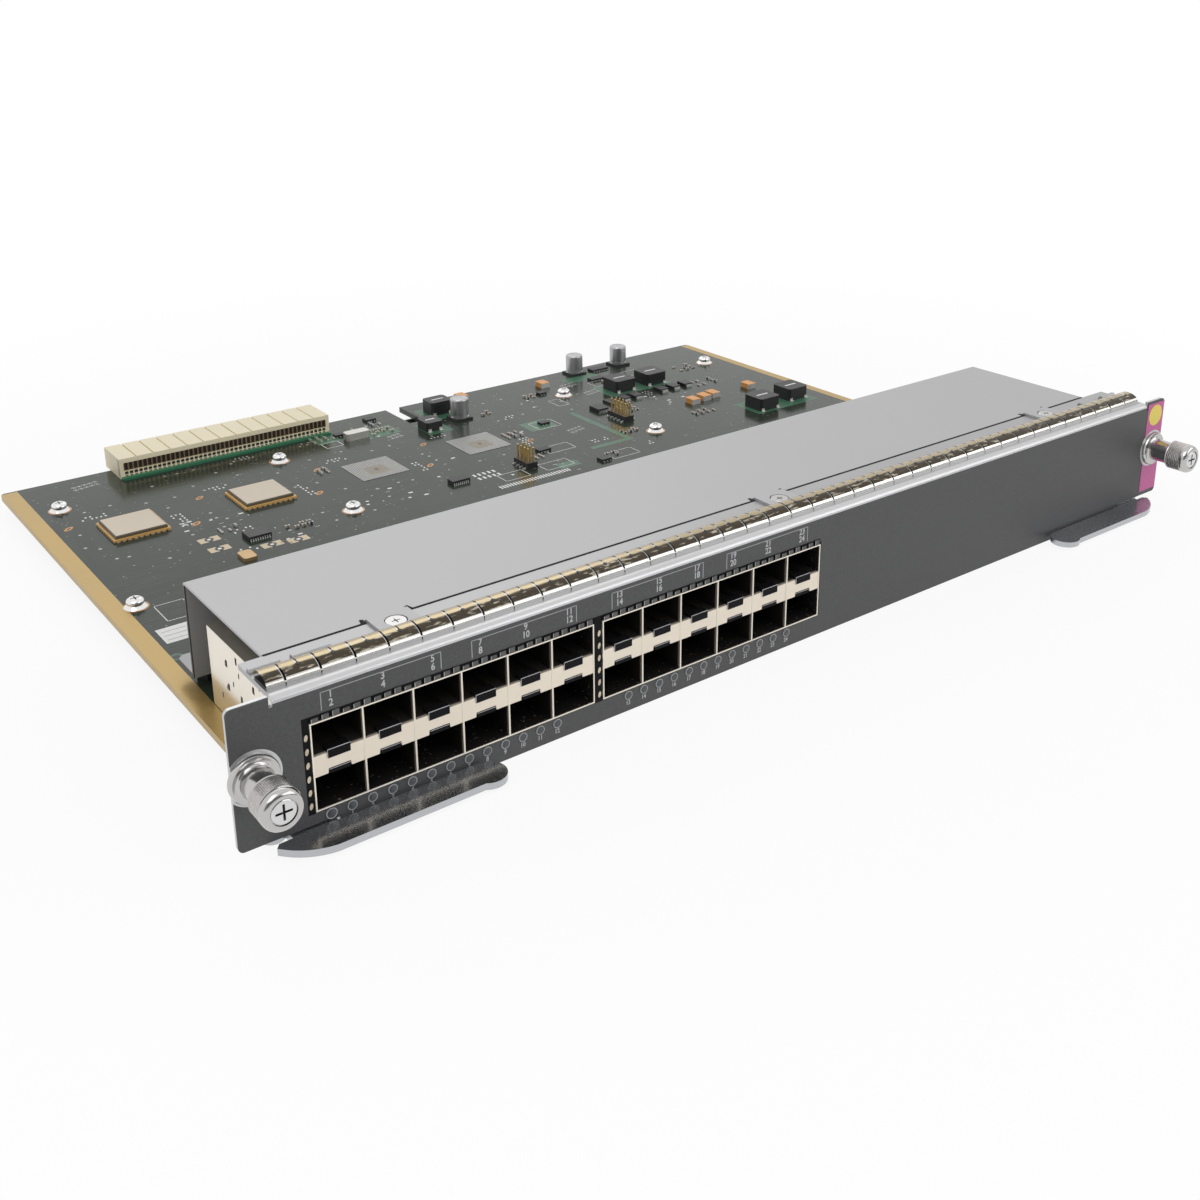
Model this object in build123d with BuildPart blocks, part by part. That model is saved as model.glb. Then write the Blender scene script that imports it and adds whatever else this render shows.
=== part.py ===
from build123d import *
import os

# Overall reach in millimetres: X across the card, Y from its face to its back, Z up
knob_front = -17.5
connector_back = 277.0
front_y = -(connector_back + knob_front) / 2

# Faceplate, folded from one sheet
plate_half = 191.85
plate_t = 1.5
plate_top = 42.0
flange_half = plate_half - 11.85
flange_depth = 20.6
bend_outer = 1.8
bend_inner = bend_outer - plate_t
ear_top = plate_top + 0.4
ear_inner = flange_half + 1.05
ear_round = 1.6
relief_z = 39.4
notch_x = plate_half - 26.8
notch_z = 3.6
rib_y = 15.0
rib_half = 1.2
rib_height = 1.05
rib_spans = [(flange_half - 22.1, flange_half - 11.7), (flange_half - 8.5, flange_half - 0.3)]

# Finger gasket on the flange
gasket_half = flange_half - 0.4
gasket_pitch = 9.35
gasket_slot = 0.9
gasket_slot_front = 9.7
gasket_slot_back = 14.0

# Shield cover over the cages
shield_left = -flange_half + 6.35
shield_right = flange_half - 12.15
shield_front = flange_depth + 0.5
shield_back = 75.3
shield_t = 0.8
shield_wall_bottom = 11.6
tab_x = flange_half - 41.8
tab_xs = (-tab_x, 0.0, tab_x)
tab_width = 12.3
tab_slit = 1.2
tab_front = 13.0
tab_screw_y = 16.2
tab_screw_r = 3.0
foot_back = 89.0
foot_width = 12.4
foot_hole = 7.6
foot_y = 83.0
foot_corner = 2.0

# Board and tray
board_left = -flange_half + 2.5
board_right = flange_half - 4.5
board_front = 3.9
board_back = connector_back - 5.6
board_bottom = 4.4
board_t = 2.4
board_top = board_bottom + board_t
board_corner = 1.0
back_notch = (-7.2, 0.0, 23.4)
power_x = board_right - 85.5
board_screws = [(board_left + 13.7, 240.0), (board_left + 9.0, 140.5), (board_left + 102.9, 238.5),
                (board_left + 102.9, 171.0), (power_x - 18.5, 239.0), (power_x - 16.0, 171.5),
                (board_right - 15.0, 239.0)]
screw_r = 1.5
screw_gap = 0.12
washer_r = 3.9
head_r = 2.9
tray_t = 1.0
tray_half = flange_half - 16.5
tray_back = 262.0
tray_lip = 6.4
lug_front = 3.0
lug_back = 18.0

# Port cages: six columns of two in each group, standing on the board
port_pitch = 14.25
columns = 6
group_width = port_pitch * columns
left_x0 = -plate_half + 20.3
right_x0 = left_x0 + group_width + 2.99
cage_front = -0.4
cage_back = 65.5
cage_bottom = board_top + 0.32
cage_top = cage_bottom + 24.72
cage_wall = 0.4
divider_t = 0.5
strip_bottom = cage_bottom + 9.58
strip_top = strip_bottom + 5.8
notch_half = 3.2
notch_depth = 1.3
tongue_half = 2.9
tongue_back = 2.6
tongue_gap = 0.2
connector_front = 49.0
opening_gap = 0.7
opening_gap_low = 0.25
finger_lift = 0.55
finger_width = 3.0
collar_t = 0.2

# Windows under the ports
window_r = 1.1
window_gap = 0.1
window_sides = 6
window_z = 5.1
status_x = left_x0 + 4.1
left_windows = [left_x0 + 9.8 + 5.718 * i for i in range(2 * columns)]
right_windows = [right_x0 + 9.21 + 5.709 * i for i in range(2 * columns)]

# Captive screws
screw_x = plate_half - 5.5
screw_z = 22.7
ring_r = 6.6
ring_t = 1.5
shank_r = 3.0
shank_sides = 12
barrel_r = 4.25
barrel_sides = 24
barrel_front = -9.5
pocket_r = 3.5
pocket_back = -0.6
shaft_r = 2.0
shaft_gap = 0.2
bore_r = shaft_r + shaft_gap
shoulder_r = 2.7
shoulder_back = -8.9
collar_front = 2.6
collar_back = 3.2
shaft_end = 8.0
washer_t = 0.8
knob_r = 5.5
knob_sides = 20
knob_back = -8.5
knob_bevel = 0.8
knob_gap = 0.3
cup_front = knob_front + 2.2

# Levers
pivot_x = flange_half - 7.45
pivot_y = 9.0
pivot_r = 2.0
pivot_gap = 0.05
hub_r = 6.35
handle_r = 5.2
handle_front = -10.3
handle_back = -1.0
handle_reach = 47.2
lever_bottom = 1.2
lever_top = 3.2

# Parts on the board
chip_y = 206.0
chip_pitch = 50.0
chip_half = 10.5
lid_half = 9.6
chip_xs = [board_left + 30.5 + chip_pitch * i for i in range(4)]
segments = 13
segment_pitch = 7.1
backplane_left = board_left + 43.2
backplane_right = backplane_left + segment_pitch * segments
backplane_front = connector_back - 18.7
backplane_top = board_top + 8.5
recess_z = (8.4, 13.4)
can_r = 4.2
can_top = 16.8
pin_pitch = 2.54

os.makedirs("parts", exist_ok=True)


def level(z):
    return Plane(origin=(0, front_y, z))


def upright(y):
    return Plane(origin=(0, front_y + y, 0), x_dir=(1, 0, 0), z_dir=(0, -1, 0))


def side(x):
    return Plane(origin=(x, front_y, 0), x_dir=(0, 1, 0), z_dir=(1, 0, 0))


# One rectangular block between two corners, inside the open part
def block(x0, x1, y0, y1, z0, z1, mode=Mode.ADD):
    with Locations(((x0 + x1) / 2, front_y + (y0 + y1) / 2, (z0 + z1) / 2)):
        Box(abs(x1 - x0), y1 - y0, z1 - z0, mode=mode)


# Upright round post from z0 to z1 at each place
def posts(places, radius, z0, z1, mode=Mode.ADD):
    with BuildSketch(level(z0)) as rounds:
        with Locations(*places):
            Circle(radius)
    extrude(rounds.sketch, amount=z1 - z0, mode=mode)


# The same with flat sides, radius taken across the flats, for small hardware
def prisms(places, radius, z0, z1, sides=6, mode=Mode.ADD):
    with BuildSketch(level(z0)) as flats:
        with Locations(*places):
            RegularPolygon(radius, sides, major_radius=False)
    extrude(flats.sketch, amount=z1 - z0, mode=mode)


# Prism lying along Y at (x, z), from y0 back to y1
def sleeve(x, z, radius, y0, y1, sides=shank_sides, mode=Mode.ADD):
    with BuildSketch(upright(y0)) as flats:
        with Locations((x, z)):
            RegularPolygon(radius, sides, major_radius=False)
    extrude(flats.sketch, amount=y0 - y1, mode=mode)


# Outline drawn on a plane and given a thickness
def plate(plane, points, amount, mode=Mode.ADD):
    with BuildSketch(plane) as outline:
        with BuildLine():
            Polyline(*points, close=True)
        make_face()
    extrude(outline.sketch, amount=amount, mode=mode)


# Faceplate
with BuildPart() as faceplate:
    with BuildSketch(side(-flange_half)) as section:
        with BuildLine():
            Line((0, 0), (0, plate_top - bend_outer))
            CenterArc((bend_outer, plate_top - bend_outer), bend_outer, 90, 90)
            Line((bend_outer, plate_top), (flange_depth, plate_top))
            Line((flange_depth, plate_top), (flange_depth, plate_top - plate_t))
            Line((flange_depth, plate_top - plate_t), (bend_outer, plate_top - plate_t))
            CenterArc((bend_outer, plate_top - bend_outer), bend_inner, 90, 90)
            Line((plate_t, plate_top - bend_outer), (plate_t, 0))
            Line((plate_t, 0), (0, 0))
        make_face()
    extrude(section.sketch, amount=2 * flange_half)
    for s in (-1, 1):
        with BuildSketch(upright(0)) as ear:
            with Locations((s * (flange_half + plate_half) / 2, (notch_z + ear_top) / 2)):
                Rectangle(plate_half - flange_half, ear_top - notch_z)
            fillet(ear.vertices().sort_by(lambda v: s * v.X)[2:], ear_round)
        extrude(ear.sketch, amount=-plate_t)
        block(s * flange_half, s * ear_inner, -1, plate_t + 1, relief_z, ear_top + 1, mode=Mode.SUBTRACT)
        block(s * notch_x, s * (flange_half + 1), -1, plate_t + 1, -1, notch_z, mode=Mode.SUBTRACT)
        for a, b in rib_spans:
            plate(
                side(min(s * a, s * b)),
                [(rib_y - rib_half, plate_top), (rib_y - rib_half / 2, plate_top + rib_height),
                 (rib_y + rib_half / 2, plate_top + rib_height), (rib_y + rib_half, plate_top)],
                b - a,
            )
    for x0 in (left_x0, right_x0):
        block(
            x0 - opening_gap, x0 + group_width + opening_gap, -1, plate_t + 1,
            cage_bottom - opening_gap_low, cage_top + opening_gap, mode=Mode.SUBTRACT,
        )
    with BuildSketch(upright(-1)) as windows:
        with Locations(*[(x, window_z) for x in [status_x] + left_windows + right_windows]):
            RegularPolygon(window_r + window_gap, window_sides, major_radius=False)
        with Locations((-screw_x, screw_z), (screw_x, screw_z)):
            RegularPolygon(shank_r, shank_sides, major_radius=False)
    extrude(windows.sketch, amount=-4, mode=Mode.SUBTRACT)
    prisms([(x, tab_screw_y) for x in tab_xs], screw_r + 0.2, plate_top - 3, plate_top + 2, mode=Mode.SUBTRACT)
faceplate.part.label = "faceplate"
export_step(faceplate.part, "parts/faceplate.step")

# Press nuts under the flange
nut_bottom = plate_top - 3.7
with BuildPart() as flange_nuts:
    prisms([(x, tab_screw_y) for x in tab_xs], 3.0, nut_bottom, plate_top - plate_t)
    prisms([(x, tab_screw_y) for x in tab_xs], screw_r + screw_gap, nut_bottom - 1, plate_top,
           mode=Mode.SUBTRACT)
flange_nuts.part.label = "flange_nuts"
export_step(flange_nuts.part, "parts/flange_nuts.step")

# Finger gasket: an open arch of sheet with its rear edge slotted into fingers
gasket_outer = [(4.0, 0.0), (4.0, 0.7), (6.6, 2.5), (9.6, 3.0), (12.3, 0.7)]
gasket_inner = [(12.0, 0.5), (9.48, 2.66), (6.72, 2.2), (4.3, 0.52), (4.3, 0.3), (7.5, 0.3), (7.5, 0.0)]
with BuildPart() as emi_gasket:
    plate(side(-gasket_half), [(y, plate_top + h) for y, h in gasket_outer + gasket_inner], 2 * gasket_half)
    slots = int(gasket_half / gasket_pitch)
    with BuildSketch(level(plate_top + 0.35)) as cuts:
        with Locations(*[(gasket_pitch * (k + 0.32), (gasket_slot_front + gasket_slot_back) / 2)
                         for k in range(-slots, slots)]):
            Rectangle(gasket_slot, gasket_slot_back - gasket_slot_front)
    extrude(cuts.sketch, amount=4, mode=Mode.SUBTRACT)
emi_gasket.part.label = "emi_gasket"
export_step(emi_gasket.part, "parts/emi_gasket.step")

# Shield cover: one sheet with joggled tabs at the front and feet at the back
shield_bend = 1.2
with BuildPart() as shield_cover:
    low = plate_top - shield_t
    with BuildSketch(side(shield_left)) as section:
        with BuildLine():
            Line((shield_front, low), (shield_front, plate_top))
            Line((shield_front, plate_top), (shield_back - shield_bend, plate_top))
            CenterArc((shield_back - shield_bend, plate_top - shield_bend), shield_bend, 0, 90)
            Line((shield_back, plate_top - shield_bend), (shield_back, shield_wall_bottom))
            Line((shield_back, shield_wall_bottom), (shield_back - shield_t, shield_wall_bottom))
            Line((shield_back - shield_t, shield_wall_bottom),
                 (shield_back - shield_t, plate_top - shield_bend))
            CenterArc((shield_back - shield_bend, plate_top - shield_bend), shield_bend - shield_t, 0, 90)
            Line((shield_back - shield_bend, low), (shield_front, low))
        make_face()
    extrude(section.sketch, amount=shield_right - shield_left)
    for x in tab_xs:
        for s in (-1, 1):
            a = x + s * tab_width / 2
            block(a, a + s * tab_slit, shield_front - 1, shield_front + 2.2, low - 1, plate_top + 1,
                  mode=Mode.SUBTRACT)
        block(x - tab_width / 2, x + tab_width / 2, shield_front - 1, shield_front + 1.2, low - 1,
              plate_top + 1, mode=Mode.SUBTRACT)
        plate(
            side(x - tab_width / 2),
            [(tab_front, plate_top), (tab_front, plate_top + shield_t),
             (shield_front + 0.3, plate_top + shield_t), (shield_front + 1.4, plate_top),
             (shield_front + 2.4, plate_top), (shield_front + 2.4, low), (shield_front + 1.0, low),
             (shield_front - 0.1, plate_top)],
            tab_width,
        )
        prisms([(x, tab_screw_y)], tab_screw_r + 0.1, plate_top - 1, plate_top + 2, sides=12,
               mode=Mode.SUBTRACT)
    for s in (-1, 1):
        x0 = shield_left if s < 0 else shield_right - foot_width
        x1 = x0 + foot_width
        hole = x0 + foot_hole if s < 0 else x1 - foot_hole
        plate(
            level(shield_wall_bottom),
            [(x0, shield_back - shield_t), (x0, foot_back - foot_corner), (x0 + foot_corner, foot_back),
             (x1 - foot_corner, foot_back), (x1, foot_back - foot_corner), (x1, shield_back - shield_t)],
            shield_t,
        )
        prisms([(hole, foot_y)], screw_r + 0.2, shield_wall_bottom - 1, shield_wall_bottom + 2,
               mode=Mode.SUBTRACT)
shield_cover.part.label = "shield_cover"
export_step(shield_cover.part, "parts/shield_cover.step")

# Countersunk screws through the tabs
with BuildPart() as shield_screws:
    prisms([(x, tab_screw_y) for x in tab_xs], screw_r, nut_bottom - 1.8, plate_top)
    prisms([(x, tab_screw_y) for x in tab_xs], tab_screw_r, plate_top, plate_top + shield_t, sides=12)
shield_screws.part.label = "shield_screws"
export_step(shield_screws.part, "parts/shield_screws.step")

# Spacers and screws of the shield's feet
foot_places = [(shield_left + foot_hole, foot_y), (shield_right - foot_hole, foot_y)]
foot_top = shield_wall_bottom + shield_t
with BuildPart() as shield_spacers:
    prisms(foot_places, 3.4, board_top, shield_wall_bottom)
    prisms(foot_places, screw_r + screw_gap, board_top + 1.0, shield_wall_bottom + 1, mode=Mode.SUBTRACT)
shield_spacers.part.label = "shield_spacers"
export_step(shield_spacers.part, "parts/shield_spacers.step")

with BuildPart() as foot_screws:
    prisms(foot_places, screw_r, board_top + 1.6, foot_top)
    prisms(foot_places, head_r, foot_top, foot_top + 1.4, sides=12)
foot_screws.part.label = "foot_screws"
export_step(foot_screws.part, "parts/foot_screws.step")

# Board with its corners cut and one slot in the back edge
with BuildPart() as circuit_board:
    block(board_left, board_right, board_front, board_back, board_bottom, board_top)
    chamfer(circuit_board.edges().filter_by(Axis.Z), board_corner)
    block(back_notch[0], back_notch[1], board_back - back_notch[2], board_back + 1, board_bottom - 1,
          board_top + 1, mode=Mode.SUBTRACT)
    prisms(board_screws, screw_r + 0.2, board_bottom - 1, board_top + 1, mode=Mode.SUBTRACT)
circuit_board.part.label = "circuit_board"
export_step(circuit_board.part, "parts/circuit_board.step")

# Carrier tray with lips that stand against the faceplate and lugs that carry the levers
pivots = [(-pivot_x, pivot_y), (pivot_x, pivot_y)]
with BuildPart() as carrier_tray:
    block(-tray_half, tray_half, plate_t, tray_back, 0, tray_t)
    lips = ((left_windows[-1] + 6.3, right_windows[0] - 6.1), (right_windows[-1] + 12.0, tray_half - 13.5))
    for x0, x1 in lips:
        block(x0, x1, plate_t, plate_t + tray_t, 0, tray_lip)
    for s in (-1, 1):
        block(s * (tray_half - 3), s * (pivot_x + 4.45), lug_front, lug_back, 0, tray_t)
    block(-tray_half, tray_half, tray_back - tray_t, tray_back, 0, board_bottom - 0.8)
    prisms(pivots, pivot_r + 0.1, -1, 2, sides=8, mode=Mode.SUBTRACT)
carrier_tray.part.label = "carrier_tray"
export_step(carrier_tray.part, "parts/carrier_tray.step")

# Standoffs between tray and board; two stand outside the tray's edge and hang from the board
with BuildPart() as standoffs:
    prisms(board_screws, 2.75, tray_t, board_bottom)
    prisms(board_screws, screw_r + screw_gap, 0, board_bottom + 1, mode=Mode.SUBTRACT)
standoffs.part.label = "standoffs"
export_step(standoffs.part, "parts/standoffs.step")

# Board screws: a broad washer under a tall head
with BuildPart() as board_fasteners:
    prisms(board_screws, screw_r, 1.6, board_top)
    prisms(board_screws, washer_r, board_top, board_top + 0.8, sides=8)
    prisms(board_screws, head_r, board_top + 0.8, board_top + 3.2, sides=8)
board_fasteners.part.label = "board_screws"
export_step(board_fasteners.part, "parts/board_screws.step")


# Outer shell of a cage group: an open box of thin sheet on four small pads
def cage_shell(x0):
    x1 = x0 + group_width
    with BuildPart() as shell:
        block(x0, x1, cage_front, cage_back, cage_bottom, cage_top)
        block(x0 + cage_wall, x1 - cage_wall, cage_front - 1, cage_back - cage_wall,
              cage_bottom + cage_wall, cage_top - cage_wall, mode=Mode.SUBTRACT)
        for x in (x0 + 6, x1 - 6):
            for y in (12.0, 60.0):
                block(x - 2, x + 2, y - 2, y + 2, board_top, cage_bottom)
        for y, z in ((52.7, 25.3), (45.4, 29.0), (52.3, 18.2), (43.5, 18.2), (34.4, 25.2)):
            block(x0 - 1, x0 + cage_wall, y - 0.6, y + 0.6, z - 1.1, z + 1.1, mode=Mode.SUBTRACT)
    return shell.part


# Walls between the columns
def cage_dividers(x0):
    with BuildPart() as walls:
        for i in range(1, columns):
            x = x0 + i * port_pitch
            block(x - divider_t / 2, x + divider_t / 2, cage_front, cage_back - cage_wall,
                  cage_bottom + cage_wall, cage_top - cage_wall)
    return walls.part


# Clear span of one column between its walls
def column_span(x0, i):
    a = x0 + i * port_pitch + (cage_wall if i == 0 else divider_t / 2)
    b = x0 + (i + 1) * port_pitch - (cage_wall if i == columns - 1 else divider_t / 2)
    return a, b


# Centre strips between upper and lower ports, notched for the latch tongues
def cage_separators(x0):
    with BuildPart() as strips:
        for i in range(columns):
            a, b = column_span(x0, i)
            m = (a + b) / 2
            low = strip_bottom + notch_depth
            high = strip_top - notch_depth
            plate(
                upright(-0.3),
                [(a, strip_bottom), (m - notch_half, strip_bottom), (m - notch_half + 0.2, low),
                 (m + notch_half - 0.2, low), (m + notch_half, strip_bottom), (b, strip_bottom),
                 (b, strip_top), (m + notch_half, strip_top), (m + notch_half - 0.2, high),
                 (m - notch_half + 0.2, high), (m - notch_half, strip_top), (a, strip_top)],
                -(connector_front + 0.3),
            )
    return strips.part


# Latch tongues lying in the notches
def cage_latches(x0):
    with BuildPart() as tongues:
        for i in range(columns):
            a, b = column_span(x0, i)
            m = (a + b) / 2
            block(m - tongue_half, m + tongue_half, cage_front, tongue_back, strip_top - notch_depth,
                  strip_top + tongue_gap)
            block(m - tongue_half, m + tongue_half, cage_front, tongue_back, strip_bottom + tongue_gap,
                  strip_bottom + notch_depth)
    return tongues.part


# Spring collar behind the faceplate with fingers that bulge against the opening
def cage_springs(x0):
    x1 = x0 + group_width
    bulge = [(cage_front, 0), (1.2, finger_lift), (6.5, 0)]
    with BuildPart() as springs:
        block(x0 - collar_t, x1 + collar_t, 6.0, 9.0, cage_top, cage_top + collar_t)
        block(x0 - collar_t, x0, 6.0, 9.0, cage_bottom, cage_top + collar_t)
        block(x1, x1 + collar_t, 6.0, 9.0, cage_bottom, cage_top + collar_t)
        for i in range(3 * columns):
            x = x0 + port_pitch * (i + 0.5) / 3
            plate(side(x - finger_width / 2), [(y, cage_top + h) for y, h in bulge], finger_width)
        for j in range(4):
            z = cage_bottom + 1.0 + 6.1 * j
            plate(level(z), [(x0 - h, y) for y, h in bulge], 4.4)
            plate(level(z), [(x1 + h, y) for y, h in bulge], 4.4)
    return springs.part


# Stacked connectors at the back of the columns, with a slot for each port
def cage_connectors(x0):
    with BuildPart() as stacks:
        for i in range(columns):
            a, b = column_span(x0, i)
            m = (a + b) / 2
            block(m - 6.2, m + 6.2, connector_front, cage_back - cage_wall, cage_bottom + cage_wall,
                  cage_top - cage_wall)
            for z in (cage_bottom + 5.1, cage_top - 5.0):
                block(m - 4.6, m + 4.6, connector_front - 1, connector_front + 7, z - 0.8, z + 0.8,
                      mode=Mode.SUBTRACT)
    return stacks.part


cage_shell_left = cage_shell(left_x0)
cage_shell_left.label = "cage_shell_left"
export_step(cage_shell_left, "parts/cage_shell_left.step")
cage_shell_right = cage_shell(right_x0)
cage_shell_right.label = "cage_shell_right"
export_step(cage_shell_right, "parts/cage_shell_right.step")
cage_dividers_left = cage_dividers(left_x0)
cage_dividers_left.label = "cage_dividers_left"
export_step(cage_dividers_left, "parts/cage_dividers_left.step")
cage_dividers_right = cage_dividers(right_x0)
cage_dividers_right.label = "cage_dividers_right"
export_step(cage_dividers_right, "parts/cage_dividers_right.step")
cage_separators_left = cage_separators(left_x0)
cage_separators_left.label = "cage_separators_left"
export_step(cage_separators_left, "parts/cage_separators_left.step")
cage_separators_right = cage_separators(right_x0)
cage_separators_right.label = "cage_separators_right"
export_step(cage_separators_right, "parts/cage_separators_right.step")
cage_latches_left = cage_latches(left_x0)
cage_latches_left.label = "cage_latches_left"
export_step(cage_latches_left, "parts/cage_latches_left.step")
cage_latches_right = cage_latches(right_x0)
cage_latches_right.label = "cage_latches_right"
export_step(cage_latches_right, "parts/cage_latches_right.step")
cage_springs_left = cage_springs(left_x0)
cage_springs_left.label = "cage_springs_left"
export_step(cage_springs_left, "parts/cage_springs_left.step")
cage_springs_right = cage_springs(right_x0)
cage_springs_right.label = "cage_springs_right"
export_step(cage_springs_right, "parts/cage_springs_right.step")
cage_connectors_left = cage_connectors(left_x0)
cage_connectors_left.label = "cage_connectors_left"
export_step(cage_connectors_left, "parts/cage_connectors_left.step")
cage_connectors_right = cage_connectors(right_x0)
cage_connectors_right.label = "cage_connectors_right"
export_step(cage_connectors_right, "parts/cage_connectors_right.step")


# Moulded bar behind the faceplate with one window boss in each hole
def light_pipe(xs):
    with BuildPart() as pipe:
        block(xs[0] - 2.05, xs[-1] + 2.05, plate_t, plate_t + 2, notch_z, board_top - 0.2)
        with BuildSketch(upright(-0.25)) as bosses:
            with Locations(*[(x, window_z) for x in xs]):
                RegularPolygon(window_r, window_sides, major_radius=False)
        extrude(bosses.sketch, amount=-(plate_t + 0.25))
    return pipe.part


light_pipe_left = light_pipe([status_x] + left_windows)
light_pipe_left.label = "light_pipe_left"
export_step(light_pipe_left, "parts/light_pipe_left.step")
light_pipe_right = light_pipe(right_windows)
light_pipe_right.label = "light_pipe_right"
export_step(light_pipe_right, "parts/light_pipe_right.step")

# Light sources under the board's front edge: one alone and arrays of four
lamps = [(status_x, status_x)]
for xs in (left_windows, right_windows):
    lamps += [(xs[i], xs[i + 3]) for i in range(0, 2 * columns, 4)]
with BuildPart() as status_leds:
    for a, b in lamps:
        block(a - 0.8, b + 0.8, board_front + 0.5, board_front + 2.1, board_bottom - 0.9, board_bottom)
status_leds.part.label = "status_leds"
export_step(status_leds.part, "parts/status_leds.step")

# Coloured label on the right ear, round the barrel's ring, with its dot
label_t = 0.12
with BuildPart() as ear_label:
    block(ear_inner + 0.1, plate_half - 0.1, -label_t, 0, notch_z + 1.6, ear_top - 1.0)
    sleeve(screw_x, screw_z, ring_r + 0.8, -1, 1, sides=24, mode=Mode.SUBTRACT)
ear_label.part.label = "ear_label"
export_step(ear_label.part, "parts/ear_label.step")

dot_r = (plate_half - ear_inner) / 2 - 1.2
with BuildPart() as label_dot:
    sleeve(screw_x, ear_top - 6.0, dot_r, -label_t - 0.1, -label_t, sides=20)
label_dot.part.label = "label_dot"
export_step(label_dot.part, "parts/label_dot.step")

# Ferrules of the captive screws: ring on the ear, barrel in front, spring pocket inside
with BuildPart() as ferrules:
    for x in (-screw_x, screw_x):
        sleeve(x, screw_z, ring_r, -ring_t, 0, sides=barrel_sides)
        sleeve(x, screw_z, barrel_r, barrel_front, -ring_t, sides=barrel_sides)
        sleeve(x, screw_z, shank_r, 0, plate_t + 0.8)
        sleeve(x, screw_z, pocket_r, barrel_front - 1, pocket_back, mode=Mode.SUBTRACT)
        sleeve(x, screw_z, bore_r, -1, plate_t + 2, mode=Mode.SUBTRACT)
ferrules.part.label = "ferrules"
export_step(ferrules.part, "parts/ferrules.step")


# Spring round the shaft, drawn as a plain sleeve between the washer and the pocket's end
def screw_spring(x):
    with BuildPart() as spring:
        sleeve(x, screw_z, pocket_r - 0.5, shoulder_back + washer_t, pocket_back)
        sleeve(x, screw_z, bore_r + 0.25, shoulder_back, 0, mode=Mode.SUBTRACT)
    return spring.part


# Thrust washer that the shaft's shoulder pushes on
def screw_washer(x):
    with BuildPart() as washer:
        sleeve(x, screw_z, pocket_r - 0.4, shoulder_back, shoulder_back + washer_t)
        sleeve(x, screw_z, bore_r, shoulder_back - 1, 0, mode=Mode.SUBTRACT)
    return washer.part


# Cap with a grip of flats, a bevelled front and a cup that takes the barrel
def screw_knob(x):
    bevel_back = knob_front + knob_bevel
    with BuildPart() as knob:
        with BuildSketch(upright(bevel_back)) as grip:
            with Locations((x, screw_z)):
                RegularPolygon(knob_r, knob_sides)
        extrude(grip.sketch, amount=bevel_back - knob_back)
        extrude(grip.sketch, amount=knob_bevel, taper=45)
        sleeve(x, screw_z, barrel_r + knob_gap, cup_front, 0, sides=knob_sides, mode=Mode.SUBTRACT)
    return knob.part


# Shaft with a shoulder in front, a stop collar behind the ear and a round end
def screw_shaft(x):
    with BuildPart() as shaft:
        sleeve(x, screw_z, shoulder_r, cup_front, shoulder_back)
        sleeve(x, screw_z, shaft_r, shoulder_back, collar_front)
        sleeve(x, screw_z, shoulder_r, collar_front, collar_back, sides=6)
        with BuildSketch(upright(collar_back)) as tip:
            with Locations((x, screw_z)):
                Circle(shaft_r)
        extrude(tip.sketch, amount=collar_back - shaft_end)
    return shaft.part


left_spring = screw_spring(-screw_x)
left_spring.label = "left_screw_spring"
export_step(left_spring, "parts/left_screw_spring.step")
right_spring = screw_spring(screw_x)
right_spring.label = "right_screw_spring"
export_step(right_spring, "parts/right_screw_spring.step")
left_washer = screw_washer(-screw_x)
left_washer.label = "left_screw_washer"
export_step(left_washer, "parts/left_screw_washer.step")
right_washer = screw_washer(screw_x)
right_washer.label = "right_screw_washer"
export_step(right_washer, "parts/right_screw_washer.step")
left_knob = screw_knob(-screw_x)
left_knob.label = "left_screw_knob"
export_step(left_knob, "parts/left_screw_knob.step")
right_knob = screw_knob(screw_x)
right_knob.label = "right_screw_knob"
export_step(right_knob, "parts/right_screw_knob.step")
left_shaft = screw_shaft(-screw_x)
left_shaft.label = "left_screw_shaft"
export_step(left_shaft, "parts/left_screw_shaft.step")
right_shaft = screw_shaft(screw_x)
right_shaft.label = "right_screw_shaft"
export_step(right_shaft, "parts/right_screw_shaft.step")


# Flat lever: handle along the face with a round end, leg back to the pivot, forked claw outside
def lever(s):
    def at(out, back):
        return (s * (pivot_x + out), pivot_y + back)

    rise = handle_back - pivot_y
    drop = handle_front - pivot_y
    with BuildPart() as arm:
        with BuildSketch(level(lever_bottom)) as outline:
            with BuildLine():
                Line(at(-handle_reach, rise), at(-hub_r, rise))
                Line(at(-hub_r, rise), at(-hub_r, 0))
                ThreePointArc(at(-hub_r, 0), at(0, hub_r), at(hub_r - 0.4, 2.2))
                Line(at(hub_r - 0.4, 2.2), at(hub_r + 1.3, -1.0))
                ThreePointArc(at(hub_r + 1.3, -1.0), at(12.0, -3.8), at(hub_r, -6.4))
                Line(at(hub_r, -6.4), at(hub_r - 0.4, rise - 0.2))
                Line(at(hub_r - 0.4, rise - 0.2), at(9.6, rise - 0.3))
                Line(at(9.6, rise - 0.3), at(10.8, rise - 1.8))
                Line(at(10.8, rise - 1.8), at(9.4, rise - 3.4))
                ThreePointArc(at(9.4, rise - 3.4), at(4.2, rise - 7.4), at(-2.2, drop))
                Line(at(-2.2, drop), at(-handle_reach, drop))
                Line(at(-handle_reach, drop), at(-handle_reach, rise))
            make_face()
            with Locations(at(-handle_reach, rise - handle_r)):
                Circle(handle_r)
            with Locations(at(0, 0)):
                Circle(pivot_r + pivot_gap, mode=Mode.SUBTRACT)
        extrude(outline.sketch, amount=lever_top - lever_bottom)
    return arm.part


left_lever = lever(-1)
left_lever.label = "left_lever"
export_step(left_lever, "parts/left_lever.step")
right_lever = lever(1)
right_lever.label = "right_lever"
export_step(right_lever, "parts/right_lever.step")

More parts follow.
